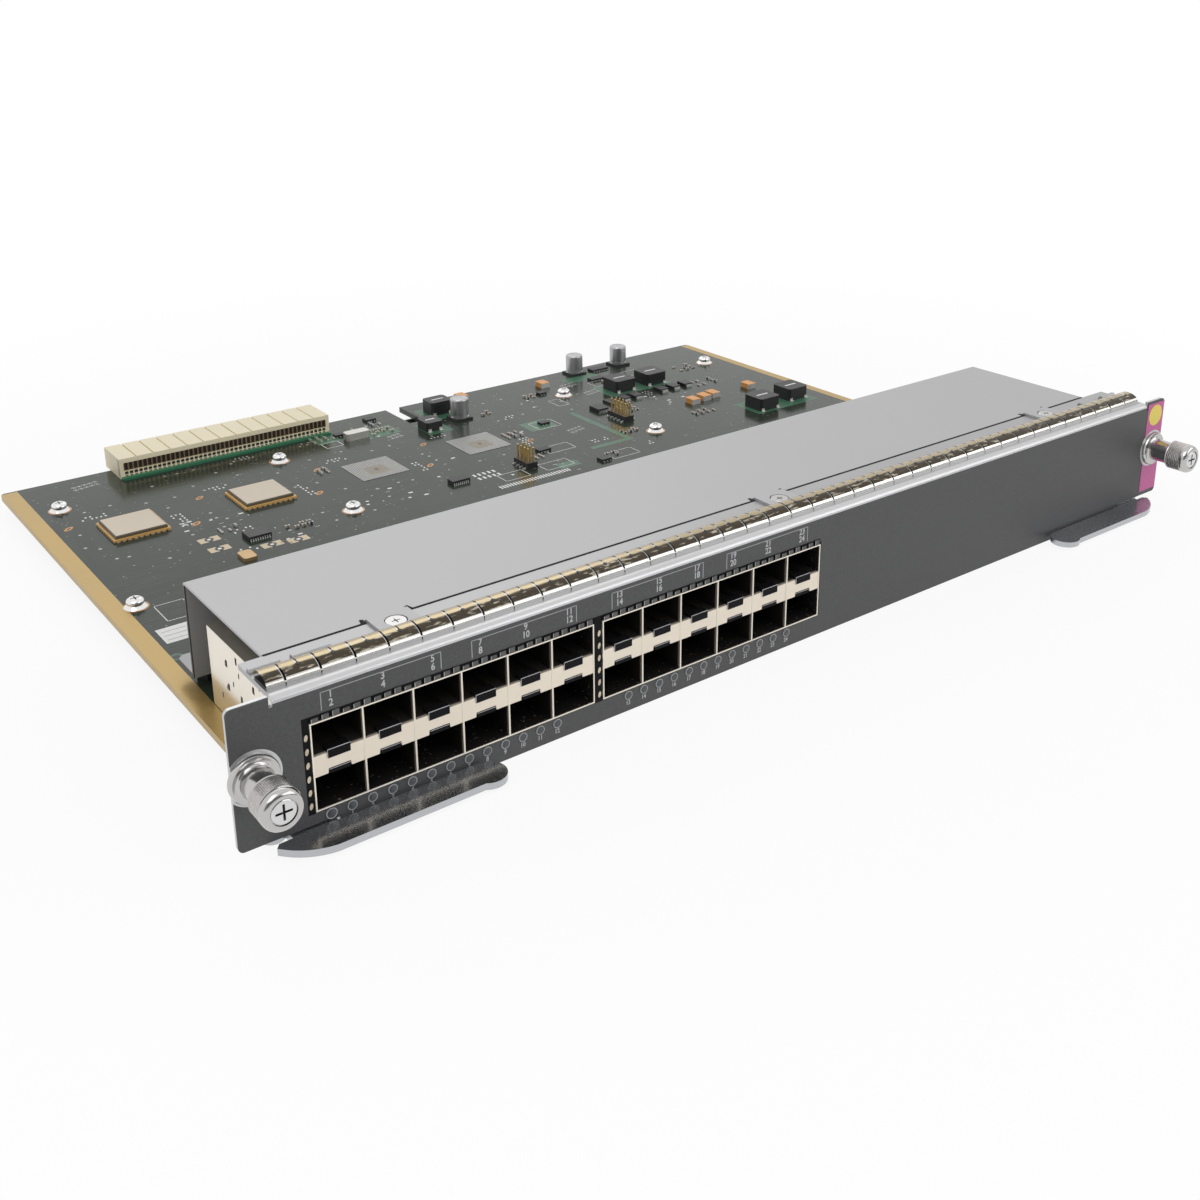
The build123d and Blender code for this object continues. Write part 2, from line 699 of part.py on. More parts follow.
# Rivets of the levers, flush under the tray
with BuildPart() as lever_rivets:
    posts(pivots, pivot_r, 0, lever_top + 0.05)
    prisms(pivots, pivot_r + 1.3, lever_top + 0.05, lever_top + 0.8, sides=12)
lever_rivets.part.label = "lever_rivets"
export_step(lever_rivets.part, "parts/lever_rivets.step")

# Backplane connector: housing open at both sides, wafers in front, and the strip before it
with BuildPart() as backplane_connector:
    block(backplane_left, backplane_right, backplane_front, connector_back, board_top, backplane_top)
    block(backplane_left + 1.5, backplane_right - 1.5, backplane_front - 1, backplane_front + 3, *recess_z,
          mode=Mode.SUBTRACT)
    block(backplane_left + 1.5, backplane_right - 1.5, connector_back - 8, connector_back + 1, *recess_z,
          mode=Mode.SUBTRACT)
    for i in range(1, segments):
        a = backplane_left + i * segment_pitch
        block(a - 0.3, a + 0.3, backplane_front - 1, connector_back + 1, backplane_top - 0.7,
              backplane_top + 1, mode=Mode.SUBTRACT)
backplane_connector.part.label = "backplane_housing"
export_step(backplane_connector.part, "parts/backplane_housing.step")

with BuildPart() as backplane_contacts:
    for i in range(segments):
        x = backplane_left + (i + 0.5) * segment_pitch
        block(x - 1.9, x + 1.9, backplane_front + 0.4, backplane_front + 3, *recess_z)
backplane_contacts.part.label = "backplane_contacts"
export_step(backplane_contacts.part, "parts/backplane_contacts.step")

with BuildPart() as backplane_strip:
    block(backplane_left + 0.4, backplane_right - 0.4, backplane_front - 2.4, backplane_front,
          board_top, board_top + 0.9)
backplane_strip.part.label = "backplane_strip"
export_step(backplane_strip.part, "parts/backplane_strip.step")

# Chip packages: two fitted and two bare footprints in one row
with BuildPart() as chip_substrates:
    for x in chip_xs[:2]:
        block(x - chip_half, x + chip_half, chip_y - chip_half, chip_y + chip_half, board_top, board_top + 1.0)
chip_substrates.part.label = "chip_substrates"
export_step(chip_substrates.part, "parts/chip_substrates.step")

with BuildPart() as chip_lids:
    for x in chip_xs[:2]:
        block(x - lid_half, x + lid_half, chip_y - lid_half, chip_y + lid_half, board_top + 1.0,
              board_top + 2.3)
    chamfer(chip_lids.edges().group_by(Axis.Z)[-1], 0.4)
chip_lids.part.label = "chip_lids"
export_step(chip_lids.part, "parts/chip_lids.step")

with BuildPart() as chip_footprints:
    for x in chip_xs[2:]:
        block(x - chip_half, x + chip_half, chip_y - chip_half, chip_y + chip_half, board_top, board_top + 0.12)
chip_footprints.part.label = "chip_footprints"
export_step(chip_footprints.part, "parts/chip_footprints.step")

# Can capacitors on square bases
cans = [(power_x + 6.4, 265.0), (power_x + 33.6, 264.5), (14.1, 240.0)]
with BuildPart() as can_bases:
    for x, y in cans:
        block(x - can_r - 0.2, x + can_r + 0.2, y - can_r - 0.2, y + can_r + 0.2, board_top, board_top + 1.0)
can_bases.part.label = "can_bases"
export_step(can_bases.part, "parts/can_bases.step")

with BuildPart() as can_capacitors:
    prisms(cans, can_r, board_top + 1.0, can_top, sides=24)
can_capacitors.part.label = "can_capacitors"
export_step(can_capacitors.part, "parts/can_capacitors.step")

# Inductors: moulded blocks with their upright corners cut, as x, y, width, depth and top
coils = [(11.0, 254.7, 11.0, 9.5, 13.0), (-3.4, 236.5, 8.3, 9.7, 11.0)]
coils += [(power_x + a, y, 12.0, 12.0, 12.6) for a, y in ((9, 231), (28, 231), (45, 168), (66, 171))]
with BuildPart() as inductors:
    for x, y, w, d, top in coils:
        block(x - w / 2, x + w / 2, y - d / 2, y + d / 2, board_top, top)
    chamfer(inductors.edges().filter_by(Axis.Z), 1.0)
inductors.part.label = "inductors"
export_step(inductors.part, "parts/inductors.step")

# Small ceramic capacitors and transistors
ceramics = [(29.3, 264.0)]
ceramics += [(power_x + a, y) for a, y in ((-18.6, 257), (23, 192), (30.6, 193), (37, 194), (60, 194))]
with BuildPart() as ceramic_capacitors:
    for x, y in ceramics:
        block(x - 2.3, x + 2.3, y - 3.0, y + 3.0, board_top, board_top + 2.4)
ceramic_capacitors.part.label = "ceramic_capacitors"
export_step(ceramic_capacitors.part, "parts/ceramic_capacitors.step")

with BuildPart() as transistors:
    for x in [power_x + a for a in (0, 7, 23, 30.5, 38)]:
        block(x - 2.3, x + 2.3, 213.0, 219.0, board_top, board_top + 1.6)
transistors.part.label = "transistors"
export_step(transistors.part, "parts/transistors.step")

# Pin headers, two pins across and four or five along
headers = [(4.5, 171.0, 2, 4), (power_x - 17.5, 195.0, 2, 5)]
header_top = board_top + pin_pitch
with BuildPart() as header_bodies:
    for x, y, across, along in headers:
        half_x = across * pin_pitch / 2
        half_y = along * pin_pitch / 2
        block(x - half_x, x + half_x, y - half_y, y + half_y, board_top, header_top)
header_bodies.part.label = "header_bodies"
export_step(header_bodies.part, "parts/header_bodies.step")

with BuildPart() as header_pins:
    for x, y, across, along in headers:
        for i in range(across):
            for j in range(along):
                px = x + (i - (across - 1) / 2) * pin_pitch
                py = y + (j - (along - 1) / 2) * pin_pitch
                block(px - 0.32, px + 0.32, py - 0.32, py + 0.32, header_top, header_top + 6)
header_pins.part.label = "header_pins"
export_step(header_pins.part, "parts/header_pins.step")

# Small chips on slabs of leads, as x, y, width and depth, and the two crystals
small_chips = [(-27.5, 171.5, 8.0, 6.0), (board_left + 63.7, 170.5, 5.0, 6.0),
               (power_x - 18.5, 210.5, 5.6, 9.0)]
with BuildPart() as gull_wing_chips:
    for x, y, w, d in small_chips:
        block(x - w / 2, x + w / 2, y - d / 2, y + d / 2, board_top + 0.1, board_top + 1.7)
        block(x - w / 2 - 1.2, x + w / 2 + 1.2, y - d / 2 + 0.6, y + d / 2 - 0.6, board_top, board_top + 0.3)
gull_wing_chips.part.label = "gull_wing_chips"
export_step(gull_wing_chips.part, "parts/gull_wing_chips.step")

with BuildPart() as crystals:
    for x, y, w, d, h in ((board_left + 53.5, 155.0, 5.0, 7.4, 1.2), (-35.5, 245.0, 11.0, 5.0, 3.2)):
        block(x - w / 2, x + w / 2, y - d / 2, y + d / 2, board_top, board_top + h)
    chamfer(crystals.edges().filter_by(Axis.Z), 0.8)
crystals.part.label = "crystals"
export_step(crystals.part, "parts/crystals.step")
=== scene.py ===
import math
import random

import bpy
from mathutils import Matrix, Vector


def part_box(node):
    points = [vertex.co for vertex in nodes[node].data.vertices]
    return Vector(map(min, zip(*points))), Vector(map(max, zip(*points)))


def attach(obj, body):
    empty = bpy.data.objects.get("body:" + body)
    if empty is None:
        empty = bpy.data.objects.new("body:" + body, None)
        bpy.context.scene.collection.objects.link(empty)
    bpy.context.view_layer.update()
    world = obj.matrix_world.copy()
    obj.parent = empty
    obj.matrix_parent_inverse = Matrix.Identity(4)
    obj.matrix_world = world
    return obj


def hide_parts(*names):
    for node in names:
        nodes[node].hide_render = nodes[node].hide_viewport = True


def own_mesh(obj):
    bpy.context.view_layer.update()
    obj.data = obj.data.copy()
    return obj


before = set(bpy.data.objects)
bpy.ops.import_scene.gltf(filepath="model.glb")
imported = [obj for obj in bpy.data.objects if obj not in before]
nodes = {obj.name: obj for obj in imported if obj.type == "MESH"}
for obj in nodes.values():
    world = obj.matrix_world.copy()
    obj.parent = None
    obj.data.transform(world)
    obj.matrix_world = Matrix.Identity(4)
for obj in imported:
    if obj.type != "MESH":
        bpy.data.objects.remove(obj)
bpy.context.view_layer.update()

# Lengths below are millimetres from the middle of the faceplate's front and the card's floor
MM = 0.001
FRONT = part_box("faceplate")[0].y
BOARD_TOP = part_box("circuit_board")[1].z / MM
COLUMNS = 6
RING_R = 6.6
HEAD_R = 3.0
CHIP_Y = 206
CHIP_XS = (-147, -97, -47, 3)
BOARD_SCREWS = ((-163.8, 240), (-168.5, 140.5), (-74.6, 238.5), (-74.6, 171), (71.5, 239), (74, 171.5),
                (160.5, 239))
CANS = ((96.4, 265), (123.6, 264.5), (14.1, 240))
COILS = ((11, 254.7, 11, 9.5, 13.0), (-3.4, 236.5, 8.3, 9.7, 11.0), (99, 231, 12, 12, 12.6),
         (118, 231, 12, 12, 12.6), (135, 168, 12, 12, 12.6), (156, 171, 12, 12, 12.6))
CERAMICS = ((29.3, 264), (71.4, 257), (113, 192), (120.6, 193), (127, 194), (150, 194))
TRANSISTORS = (90, 97, 113, 120.5, 128)
HEADERS = ((4.5, 171, 4), (72.5, 195, 5))


def place(x, y, z):
    return Vector((x * MM, FRONT + y * MM, z * MM))


def span(node):
    low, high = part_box(node)
    return [(low.x / MM, high.x / MM), ((low.y - FRONT) / MM, (high.y - FRONT) / MM),
            (low.z / MM, high.z / MM)]


def about(middle, half):
    return (middle - half, middle + half)


def on_top(low, high):
    return (BOARD_TOP + low, BOARD_TOP + high)


# Centre of the right captive screw; the left one mirrors it
def screw_centre():
    (_, right), _, (low, high) = span("ferrules")
    return right - RING_R, (low + high) / 2


# A new object in the scene
def put(name, data):
    obj = bpy.data.objects.new(name, data)
    bpy.context.scene.collection.objects.link(obj)
    return obj


# Shader helpers: an input takes a constant or another node's output
def feed(tree, socket, value):
    if isinstance(value, bpy.types.NodeSocket):
        tree.links.new(value, socket)
    else:
        socket.default_value = value


# Inputs by their names, with _ for a space
def dress(tree, node, **inputs):
    for key, value in inputs.items():
        feed(tree, node.inputs[key.replace("_", " ")], value)


def shader_node(tree, kind, **inputs):
    node = tree.nodes.new(kind)
    dress(tree, node, **inputs)
    return node


def new_material(name):
    material = bpy.data.materials.new(name)
    material.use_nodes = True
    tree = material.node_tree
    return material, tree, tree.nodes["Principled BSDF"]


def maths(tree, operation, *values):
    node = tree.nodes.new("ShaderNodeMath")
    node.operation = operation
    for socket, value in zip(node.inputs, values):
        feed(tree, socket, value)
    return node.outputs[0]


def times(tree, first, second):
    return maths(tree, "MULTIPLY", first, second)


def over(tree, value, limit):
    return maths(tree, "GREATER_THAN", value, limit)


def under(tree, value, limit):
    return maths(tree, "LESS_THAN", value, limit)


def object_coordinates(tree):
    return tree.nodes.new("ShaderNodeTexCoord").outputs["Object"]


def axes(tree):
    return shader_node(tree, "ShaderNodeSeparateXYZ", Vector=object_coordinates(tree)).outputs


def stretched(tree, scale):
    return shader_node(tree, "ShaderNodeMapping", Vector=object_coordinates(tree), Scale=scale).outputs[0]


def noise(tree, scale, detail=3.0, stretch=(1, 1, 1)):
    vector = stretched(tree, stretch)
    return shader_node(tree, "ShaderNodeTexNoise", Vector=vector, Scale=scale, Detail=detail).outputs["Fac"]


# A mix of two colours, each an output or a plain (red, green, blue)
def mixed(tree, factor, *colours):
    node = tree.nodes.new("ShaderNodeMix")
    node.data_type = "RGBA"
    feed(tree, node.inputs[0], factor)
    for number, colour in zip((6, 7), colours):
        feed(tree, node.inputs[number], (*colour, 1) if isinstance(colour, tuple) else colour)
    return node.outputs[2]


def remap(tree, value, low, high, to_low, to_high):
    return shader_node(tree, "ShaderNodeMapRange", Value=value, From_Min=low, From_Max=high, To_Min=to_low,
                       To_Max=to_high).outputs[0]


def blended(tree, cloudy, fine):
    return maths(tree, "ADD", times(tree, cloudy, 0.6), times(tree, fine, 0.4))


def relief(tree, height, strength, distance=0.0003):
    return shader_node(tree, "ShaderNodeBump", Height=height, Strength=strength, Distance=distance).outputs[0]


def shade(colour, factor):
    return tuple(part * factor for part in colour)


# A surface with cloudy colour, uneven roughness and fine bump, all procedural
def surface(name, colour, metallic=0.0, roughness=0.5, vary=0.08, grain=900.0, stretch=(1, 1, 1), bump=0.05,
            cloud=40.0, uneven=0.08, coat=0.0, specular=0.5):
    material, tree, bsdf = new_material(name)
    fine = noise(tree, grain, 2.0, stretch)
    blend = blended(tree, noise(tree, cloud, 4.0), fine)
    tone = mixed(tree, remap(tree, blend, 0.3, 0.7, 0, 1), shade(colour, 1 - vary), shade(colour, 1 + vary))
    rough = remap(tree, blend, 0.3, 0.7, max(roughness - uneven, 0.02), roughness + uneven)
    dress(tree, bsdf, Base_Color=tone, Metallic=metallic, Roughness=rough, Coat_Weight=coat,
          Specular_IOR_Level=specular)
    if bump:
        dress(tree, bsdf, Normal=relief(tree, fine, bump))
    return material


steel = surface("bare_steel", (0.62, 0.63, 0.64), 1.0, 0.3, grain=500, stretch=(1, 6, 6), bump=0.03)
bright_steel = surface("bright_steel", (0.66, 0.66, 0.66), 1.0, 0.18, vary=0.04, bump=0.02, uneven=0.05)
polished = surface("polished", (0.52, 0.51, 0.5), 1.0, 0.16, vary=0.03, bump=0.0, uneven=0.03)
lever_steel = surface("lever_steel", (0.5, 0.51, 0.53), 0.95, 0.27, vary=0.04, grain=400, stretch=(8, 1, 1),
                      bump=0.01, uneven=0.05)
knurled = surface("knurled", (0.52, 0.5, 0.49), 1.0, 0.26, bump=0.02)
nickel = surface("nickel", (0.82, 0.81, 0.8), 1.0, 0.12, vary=0.04, bump=0.0, uneven=0.04)
# Grey for the board's test dots, also a painted highlight on the cage teeth
test_dot_and_highlight = surface("test_dot_and_highlight", (0.36, 0.37, 0.34), 0.3, 0.4, vary=0.2)
tooth_metal = surface("tooth_metal", (0.09, 0.09, 0.088), 0.3, 0.4, vary=0.4, cloud=300)
# Dark metal for the walls and floors of cross recesses only: painted shade
recess_shade = surface("recess_shade", (0.12, 0.12, 0.12), 0.8, 0.4, vary=0.1)
# Black for real plastic parts, also painted shade in openings, slots, gaps and between solder balls
black_plastic = surface("black_plastic", (0.018, 0.018, 0.019), 0.0, 0.45, vary=0.3)
# Near-black painted shade for the port latches, the frame round the ports and the shield's gaps
port_shade_black = surface("port_shade_black", (0.008, 0.008, 0.009), 0.0, 0.5, vary=0.3, specular=0.08)
cream_plastic = surface("cream_plastic", (0.82, 0.74, 0.53), 0.0, 0.5, vary=0.04, bump=0.03)
green_plastic = surface("green_plastic", (0.03, 0.17, 0.085), 0.0, 0.4, vary=0.1)
clear_plastic = surface("clear_plastic", (0.13, 0.14, 0.14), 0.0, 0.2, bump=0.0)
dark_glass = surface("dark_glass", (0.03, 0.034, 0.04), 0.0, 0.12, vary=0.1, bump=0.0, uneven=0.03, coat=0.5)
gold = surface("gold", (0.85, 0.6, 0.25), 1.0, 0.28, vary=0.05, bump=0.02)
brass_spot = surface("brass_spot", (0.6, 0.52, 0.38), 0.5, 0.3, vary=0.3, cloud=200)
brown_gold = surface("brown_gold", (0.42, 0.27, 0.13), 0.7, 0.35, vary=0.1, bump=0.02)
gold_strip = surface("gold_strip", (0.47, 0.32, 0.11), 0.5, 0.35, vary=0.05, grain=500, bump=0.02, cloud=30)
copper = surface("copper", (0.5, 0.24, 0.08), 0.5, 0.35, bump=0.02)
solder = surface("solder", (0.62, 0.62, 0.6), 0.5, 0.35, vary=0.12, grain=1500, bump=0.1)
tan_pad = surface("tan_pad", (0.56, 0.47, 0.33), 0.2, 0.45)
bare_site = surface("bare_site", (0.09, 0.088, 0.075), 0.0, 0.35, vary=0.15, grain=1500)
tan_ceramic = surface("tan_ceramic", (0.3, 0.2, 0.12), 0.0, 0.45, vary=0.15)
chip_laminate = surface("chip_laminate", (0.66, 0.38, 0.12), 0.0, 0.4, vary=0.1)
can_metal = surface("can_metal", (0.45, 0.45, 0.46), 0.9, 0.34, vary=0.04, bump=0.01)
orange_ceramic = surface("orange_ceramic", (0.72, 0.33, 0.09), 0.0, 0.4, vary=0.1)
magenta_film = surface("magenta_film", (0.48, 0.065, 0.25), 0.0, 0.32, vary=0.05, bump=0.0, coat=0.2)
yellow_film = surface("yellow_film", (0.72, 0.58, 0.09), 0.0, 0.35, vary=0.05, bump=0.0)
white_ink = surface("white_ink", (0.8, 0.8, 0.76), 0.0, 0.6)
# Grey print, also used for painted highlights on the latch tongues
grey_ink_and_highlight = surface("grey_ink_and_highlight", (0.48, 0.48, 0.49), 0.0, 0.5, vary=0.05)
dim_ink = surface("dim_ink", (0.33, 0.335, 0.34), 0.0, 0.5, vary=0.05)
# Painted shade in the board's holes and slots
hole_shade = surface("hole_shade", (0.012, 0.014, 0.013), 0.0, 0.4, vary=0.2)
green_line = surface("green_line", (0.05, 0.14, 0.08), 0.0, 0.4, vary=0.1)


# Metal or plastic whose colour turns with the distance behind the faceplate, in millimetres: the back colour
# is painted shade, darker deeper in the ports
def shaded_with_depth(name, front_colour, back_colour, start, end, metallic, roughness):
    material, tree, bsdf = new_material(name)
    depth = remap(tree, axes(tree)[1], FRONT + start * MM, FRONT + end * MM, 0, 1)
    cloudy = noise(tree, 60, 3.0)
    bright = mixed(tree, cloudy, shade(front_colour, 0.93), shade(front_colour, 1.07))
    dark = mixed(tree, cloudy, shade(back_colour, 0.9), shade(back_colour, 1.1))
    dress(tree, bsdf, Base_Color=mixed(tree, depth, bright, dark), Metallic=metallic, Roughness=roughness)
    return material


# Shell of a cage block: bright outside and at the front edge, with painted shade inside the ports flecked
# with painted glints
def cage_material(node):
    material, tree, bsdf = new_material(node + "_metal")
    (left, right), (front, back), (low, high) = span(node)
    x, y, z = axes(tree)
    skin, lip = 0.2, 0.3
    inside = over(tree, x, (left + skin) * MM)
    for socket, limit, side in ((x, right - skin, under), (z, low + skin, over), (z, high - skin, under)):
        inside = times(tree, inside, side(tree, socket, limit * MM))
    inside = times(tree, inside, over(tree, y, FRONT + (front + lip) * MM))
    inside = times(tree, inside, under(tree, y, FRONT + (back - skin) * MM))
    outside = mixed(tree, noise(tree, 50, 3.0), (0.76, 0.7, 0.6), (0.86, 0.8, 0.69))
    painted_glints = over(tree, noise(tree, 950, 1.0), 0.7)
    # Painted shade inside the ports, with painted glints
    depth = mixed(tree, painted_glints, (0.035, 0.032, 0.03), (0.35, 0.32, 0.28))
    dress(tree, bsdf, Base_Color=mixed(tree, inside, outside, depth), Metallic=0.8,
          Roughness=remap(tree, inside, 0, 1, 0.16, 0.5))
    return material


# Faceplate: charcoal powder coat, bare where the flange turns and round the captive screws; the bare bend is
# painted lighter than the flange as a highlight
def faceplate_material():
    material, tree, bsdf = new_material("faceplate_coat")
    x, y, z = axes(tree)
    screw_x, screw_z = screw_centre()
    bare_radius, bend_bottom, bend_end, flange_front = 7.4, 40.4, 180.2, 2.5
    outward = maths(tree, "ABSOLUTE", x)
    across = maths(tree, "SUBTRACT", outward, screw_x * MM)
    up = maths(tree, "SUBTRACT", z, screw_z * MM)
    distance = maths(tree, "SQRT", maths(tree, "ADD", times(tree, across, across), times(tree, up, up)))
    top_edge = times(tree, over(tree, z, bend_bottom * MM), under(tree, outward, bend_end * MM))
    behind = over(tree, y, FRONT + 0.4 * MM)
    bare = maths(tree, "MAXIMUM", maths(tree, "MAXIMUM", top_edge, behind),
                 under(tree, distance, bare_radius * MM))
    speck = noise(tree, 1800, 2)
    cloudy = noise(tree, 25, 4)
    coat = mixed(tree, speck, (0.045, 0.046, 0.047), (0.082, 0.083, 0.084))
    # Bare metal at the front and round the screws; along the bend its lightness is a painted highlight
    bare_front_and_bend_highlight = mixed(tree, cloudy, (0.54, 0.54, 0.545), (0.64, 0.64, 0.645))
    flange = mixed(tree, cloudy, (0.36, 0.36, 0.365), (0.42, 0.42, 0.425))
    metal = mixed(tree, over(tree, y, FRONT + flange_front * MM), bare_front_and_bend_highlight, flange)
    dress(tree, bsdf, Base_Color=mixed(tree, bare, coat, metal), Metallic=times(tree, bare, 0.8),
          Roughness=remap(tree, bare, 0, 1, 0.5, 0.34), Normal=relief(tree, speck, 0.1, 0.0002))
    return material


# Solder mask over copper: faint traces running two ways, vias and darker areas, green-grey sides
def board_material():
    material, tree, bsdf = new_material("board_mask")
    cloudy = noise(tree, 22, 3.0)
    along = noise(tree, 30, 2.0, (1, 22, 1))
    across = noise(tree, 30, 2.0, (22, 1, 1))
    which = remap(tree, noise(tree, 14, 1.0), 0.48, 0.52, 0, 1)
    other = maths(tree, "SUBTRACT", 1.0, which)
    lines = maths(tree, "ADD", times(tree, along, which), times(tree, across, other))
    trace = remap(tree, lines, 0.5, 0.56, 0, 1)
    base = mixed(tree, cloudy, (0.02, 0.028, 0.019), (0.032, 0.042, 0.03))
    ridge = mixed(tree, cloudy, (0.028, 0.038, 0.027), (0.042, 0.054, 0.04))
    colour = mixed(tree, times(tree, trace, 0.6), base, ridge)
    dots = shader_node(tree, "ShaderNodeTexVoronoi", Vector=stretched(tree, (1, 1, 0)), Scale=260)
    via = under(tree, dots.outputs["Distance"], 0.11)
    dress(tree, bsdf, Base_Color=mixed(tree, via, colour, (0.16, 0.17, 0.15)), Specular_IOR_Level=0.26,
          Roughness=remap(tree, cloudy, 0.3, 0.7, 0.14, 0.2), Normal=relief(tree, trace, 0.08, 0.0001))
    return material


# Shield: dull plated sheet, even on top, with painted shade down its walls, darkest on the left wall
def shield_material():
    material, tree, bsdf = new_material("shield_sheet")
    x, _, z = axes(tree)
    painted_wall_shade = times(tree, remap(tree, z, 41.4 * MM, 40.6 * MM, 0, 1), remap(tree, z, 8.5 * MM, 10 * MM, 0, 1))
    fine = noise(tree, 700, 2.0, (1, 14, 14))
    blend = blended(tree, noise(tree, 14, 4.0), fine)
    sheet = mixed(tree, remap(tree, blend, 0.3, 0.7, 0, 1), (0.44, 0.44, 0.445), (0.475, 0.475, 0.48))
    # Painted shade on the walls, deepest on the left end wall
    left_wall = under(tree, x, (span("shield_cover")[0][0] + 0.4) * MM)
    side = mixed(tree, left_wall, (0.36, 0.36, 0.36), (0.075, 0.075, 0.07))
    dress(tree, bsdf, Base_Color=mixed(tree, painted_wall_shade, sheet, side), Metallic=0.55,
          Roughness=remap(tree, blend, 0.3, 0.7, 0.46, 0.56), Normal=relief(tree, fine, 0.03))
    return material


# Crystals: the one at the left of the board has a brown can, the other a silver one
def crystal_material():
    material, tree, bsdf = new_material("crystal_can")
    fine = noise(tree, 1200, 2.0)
    silver = over(tree, axes(tree)[0], -80 * MM)
    brown = mixed(tree, fine, (0.4, 0.26, 0.12), (0.62, 0.42, 0.22))
    bright = mixed(tree, fine, (0.55, 0.54, 0.5), (0.68, 0.67, 0.62))
    dress(tree, bsdf, Base_Color=mixed(tree, silver, brown, bright), Metallic=0.7, Roughness=0.36)
    return material


# Chip lid: brushed tan metal on top, dark olive at its sides
def lid_material():
    material, tree, bsdf = new_material("chip_lid")
    top = over(tree, axes(tree)[2], (span("chip_lids")[2][1] - 0.05) * MM)
    plate = mixed(tree, noise(tree, 700, 2.0, (1, 5, 1)), (0.45, 0.39, 0.31), (0.55, 0.48, 0.385))
    dress(tree, bsdf, Base_Color=mixed(tree, top, (0.1, 0.085, 0.055), plate),
          Metallic=times(tree, top, 0.6), Roughness=0.38)
    return material


# Gasket: the front half carries a painted dark reflection with lighter painted streaks, the lower rim a
# painted highlight, the crest is tan
def gasket_material():
    material, tree, bsdf = new_material("gasket_metal")
    y = axes(tree)[1]
    reflection_streaks = noise(tree, 260, 3.0, (1, 4, 4))
    edge = maths(tree, "ADD", y, times(tree, maths(tree, "SUBTRACT", reflection_streaks, 0.5), 0.9 * MM))
    crest = remap(tree, edge, 7.0 * MM, 7.5 * MM, 0, 1)
    dark = mixed(tree, remap(tree, reflection_streaks, 0.56, 0.68, 0, 1), (0.07, 0.058, 0.042), (0.5, 0.45, 0.36))
    tan = mixed(tree, reflection_streaks, (0.36, 0.29, 0.17), (0.5, 0.42, 0.28))
    # Painted highlight along the lower front rim
    rim = under(tree, y, 4.6 * MM)
    dress(tree, bsdf, Base_Color=mixed(tree, rim, mixed(tree, crest, dark, tan), (0.72, 0.7, 0.65)),
          Metallic=0.95, Roughness=0.2)
    return material


gasket_metal = gasket_material()
# Separators, dividers and spring fingers painted darker towards the back as shade inside the ports
strip_metal = shaded_with_depth("strip_metal", (0.82, 0.74, 0.62), (0.05, 0.045, 0.04), 0.2, 0.9, 0.5, 0.4)
divider_metal = shaded_with_depth("divider_metal", (0.8, 0.74, 0.64), (0.05, 0.045, 0.04), 0.1, 0.7, 0.8, 0.4)
finger_metal = shaded_with_depth("finger_metal", (0.8, 0.78, 0.72), (0.5, 0.48, 0.44), 4.0, 18.0, 1.0, 0.25)

looks = {
    "faceplate": faceplate_material(), "flange_nuts": steel, "emi_gasket": gasket_metal,
    "shield_cover": shield_material(), "shield_screws": bright_steel, "shield_spacers": black_plastic,
    "foot_screws": steel, "circuit_board": board_material(), "carrier_tray": steel, "standoffs": gold,
    "board_screws": bright_steel, "status_leds": clear_plastic, "ear_label": magenta_film,
    "label_dot": yellow_film, "ferrules": bright_steel, "lever_rivets": bright_steel,
    "backplane_housing": cream_plastic, "backplane_contacts": gold, "backplane_strip": green_plastic,
    "chip_substrates": chip_laminate, "chip_lids": lid_material(), "chip_footprints": bare_site,
    "can_bases": black_plastic, "can_capacitors": can_metal, "inductors": black_plastic,
    "ceramic_capacitors": orange_ceramic, "transistors": black_plastic, "header_bodies": black_plastic,
    "header_pins": gold, "gull_wing_chips": black_plastic, "crystals": crystal_material(),
}
for side in ("left", "right"):
    looks["cage_shell_" + side] = cage_material("cage_shell_" + side)
    looks["cage_dividers_" + side] = divider_metal
    looks["cage_separators_" + side] = strip_metal
    looks["cage_latches_" + side] = port_shade_black
    looks["cage_springs_" + side] = finger_metal
    looks["cage_connectors_" + side] = black_plastic
    looks["light_pipe_" + side] = clear_plastic
    looks[side + "_lever"] = lever_steel
    for part in ("spring", "washer", "knob", "shaft"):
        looks[side + "_screw_" + part] = steel
for name, node in nodes.items():
    node.data.materials.clear()
    node.data.materials.append(looks[name])


# The camera stands where the photograph's did: place in millimetres, angles in degrees, lens in pixels
def camera():
    eye = place(-288.2, -278.4, 209.1)
    azimuth, elevation, roll = (math.radians(a) for a in (-37.15, 17.93, -0.295))
    focal_px, centre_x, centre_y, picture = 1374.2, 617.2, 397.7, 1200
    back = Vector((math.sin(azimuth) * math.cos(elevation), -math.cos(azimuth) * math.cos(elevation),
                   math.sin(elevation)))
    level_right = Vector((math.cos(azimuth), math.sin(azimuth), 0))
    level_up = back.cross(level_right)
    right = level_right * math.cos(roll) + level_up * math.sin(roll)
    up = level_up * math.cos(roll) - level_right * math.sin(roll)
    data = bpy.data.cameras.new("camera")
    data.sensor_width = 36
    data.lens = focal_px / picture * data.sensor_width
    data.shift_x = (picture / 2 - centre_x) / picture
    data.shift_y = (centre_y - picture / 2) / picture
    data.clip_start = 0.01
    obj = put("camera", data)
    obj.matrix_world = Matrix.Translation(eye) @ Matrix((right, up, back)).transposed().to_4x4()
    bpy.context.scene.camera = obj


def area_light(name, at, aim, size, power):
    data = bpy.data.lights.new(name, "AREA")
    data.shape = "RECTANGLE"
    data.size, data.size_y = size
    data.energy = power
    obj = put(name, data)
    obj.location = at
    obj.rotation_euler = (Vector(aim) - Vector(at)).to_track_quat("-Z", "Y").to_euler()


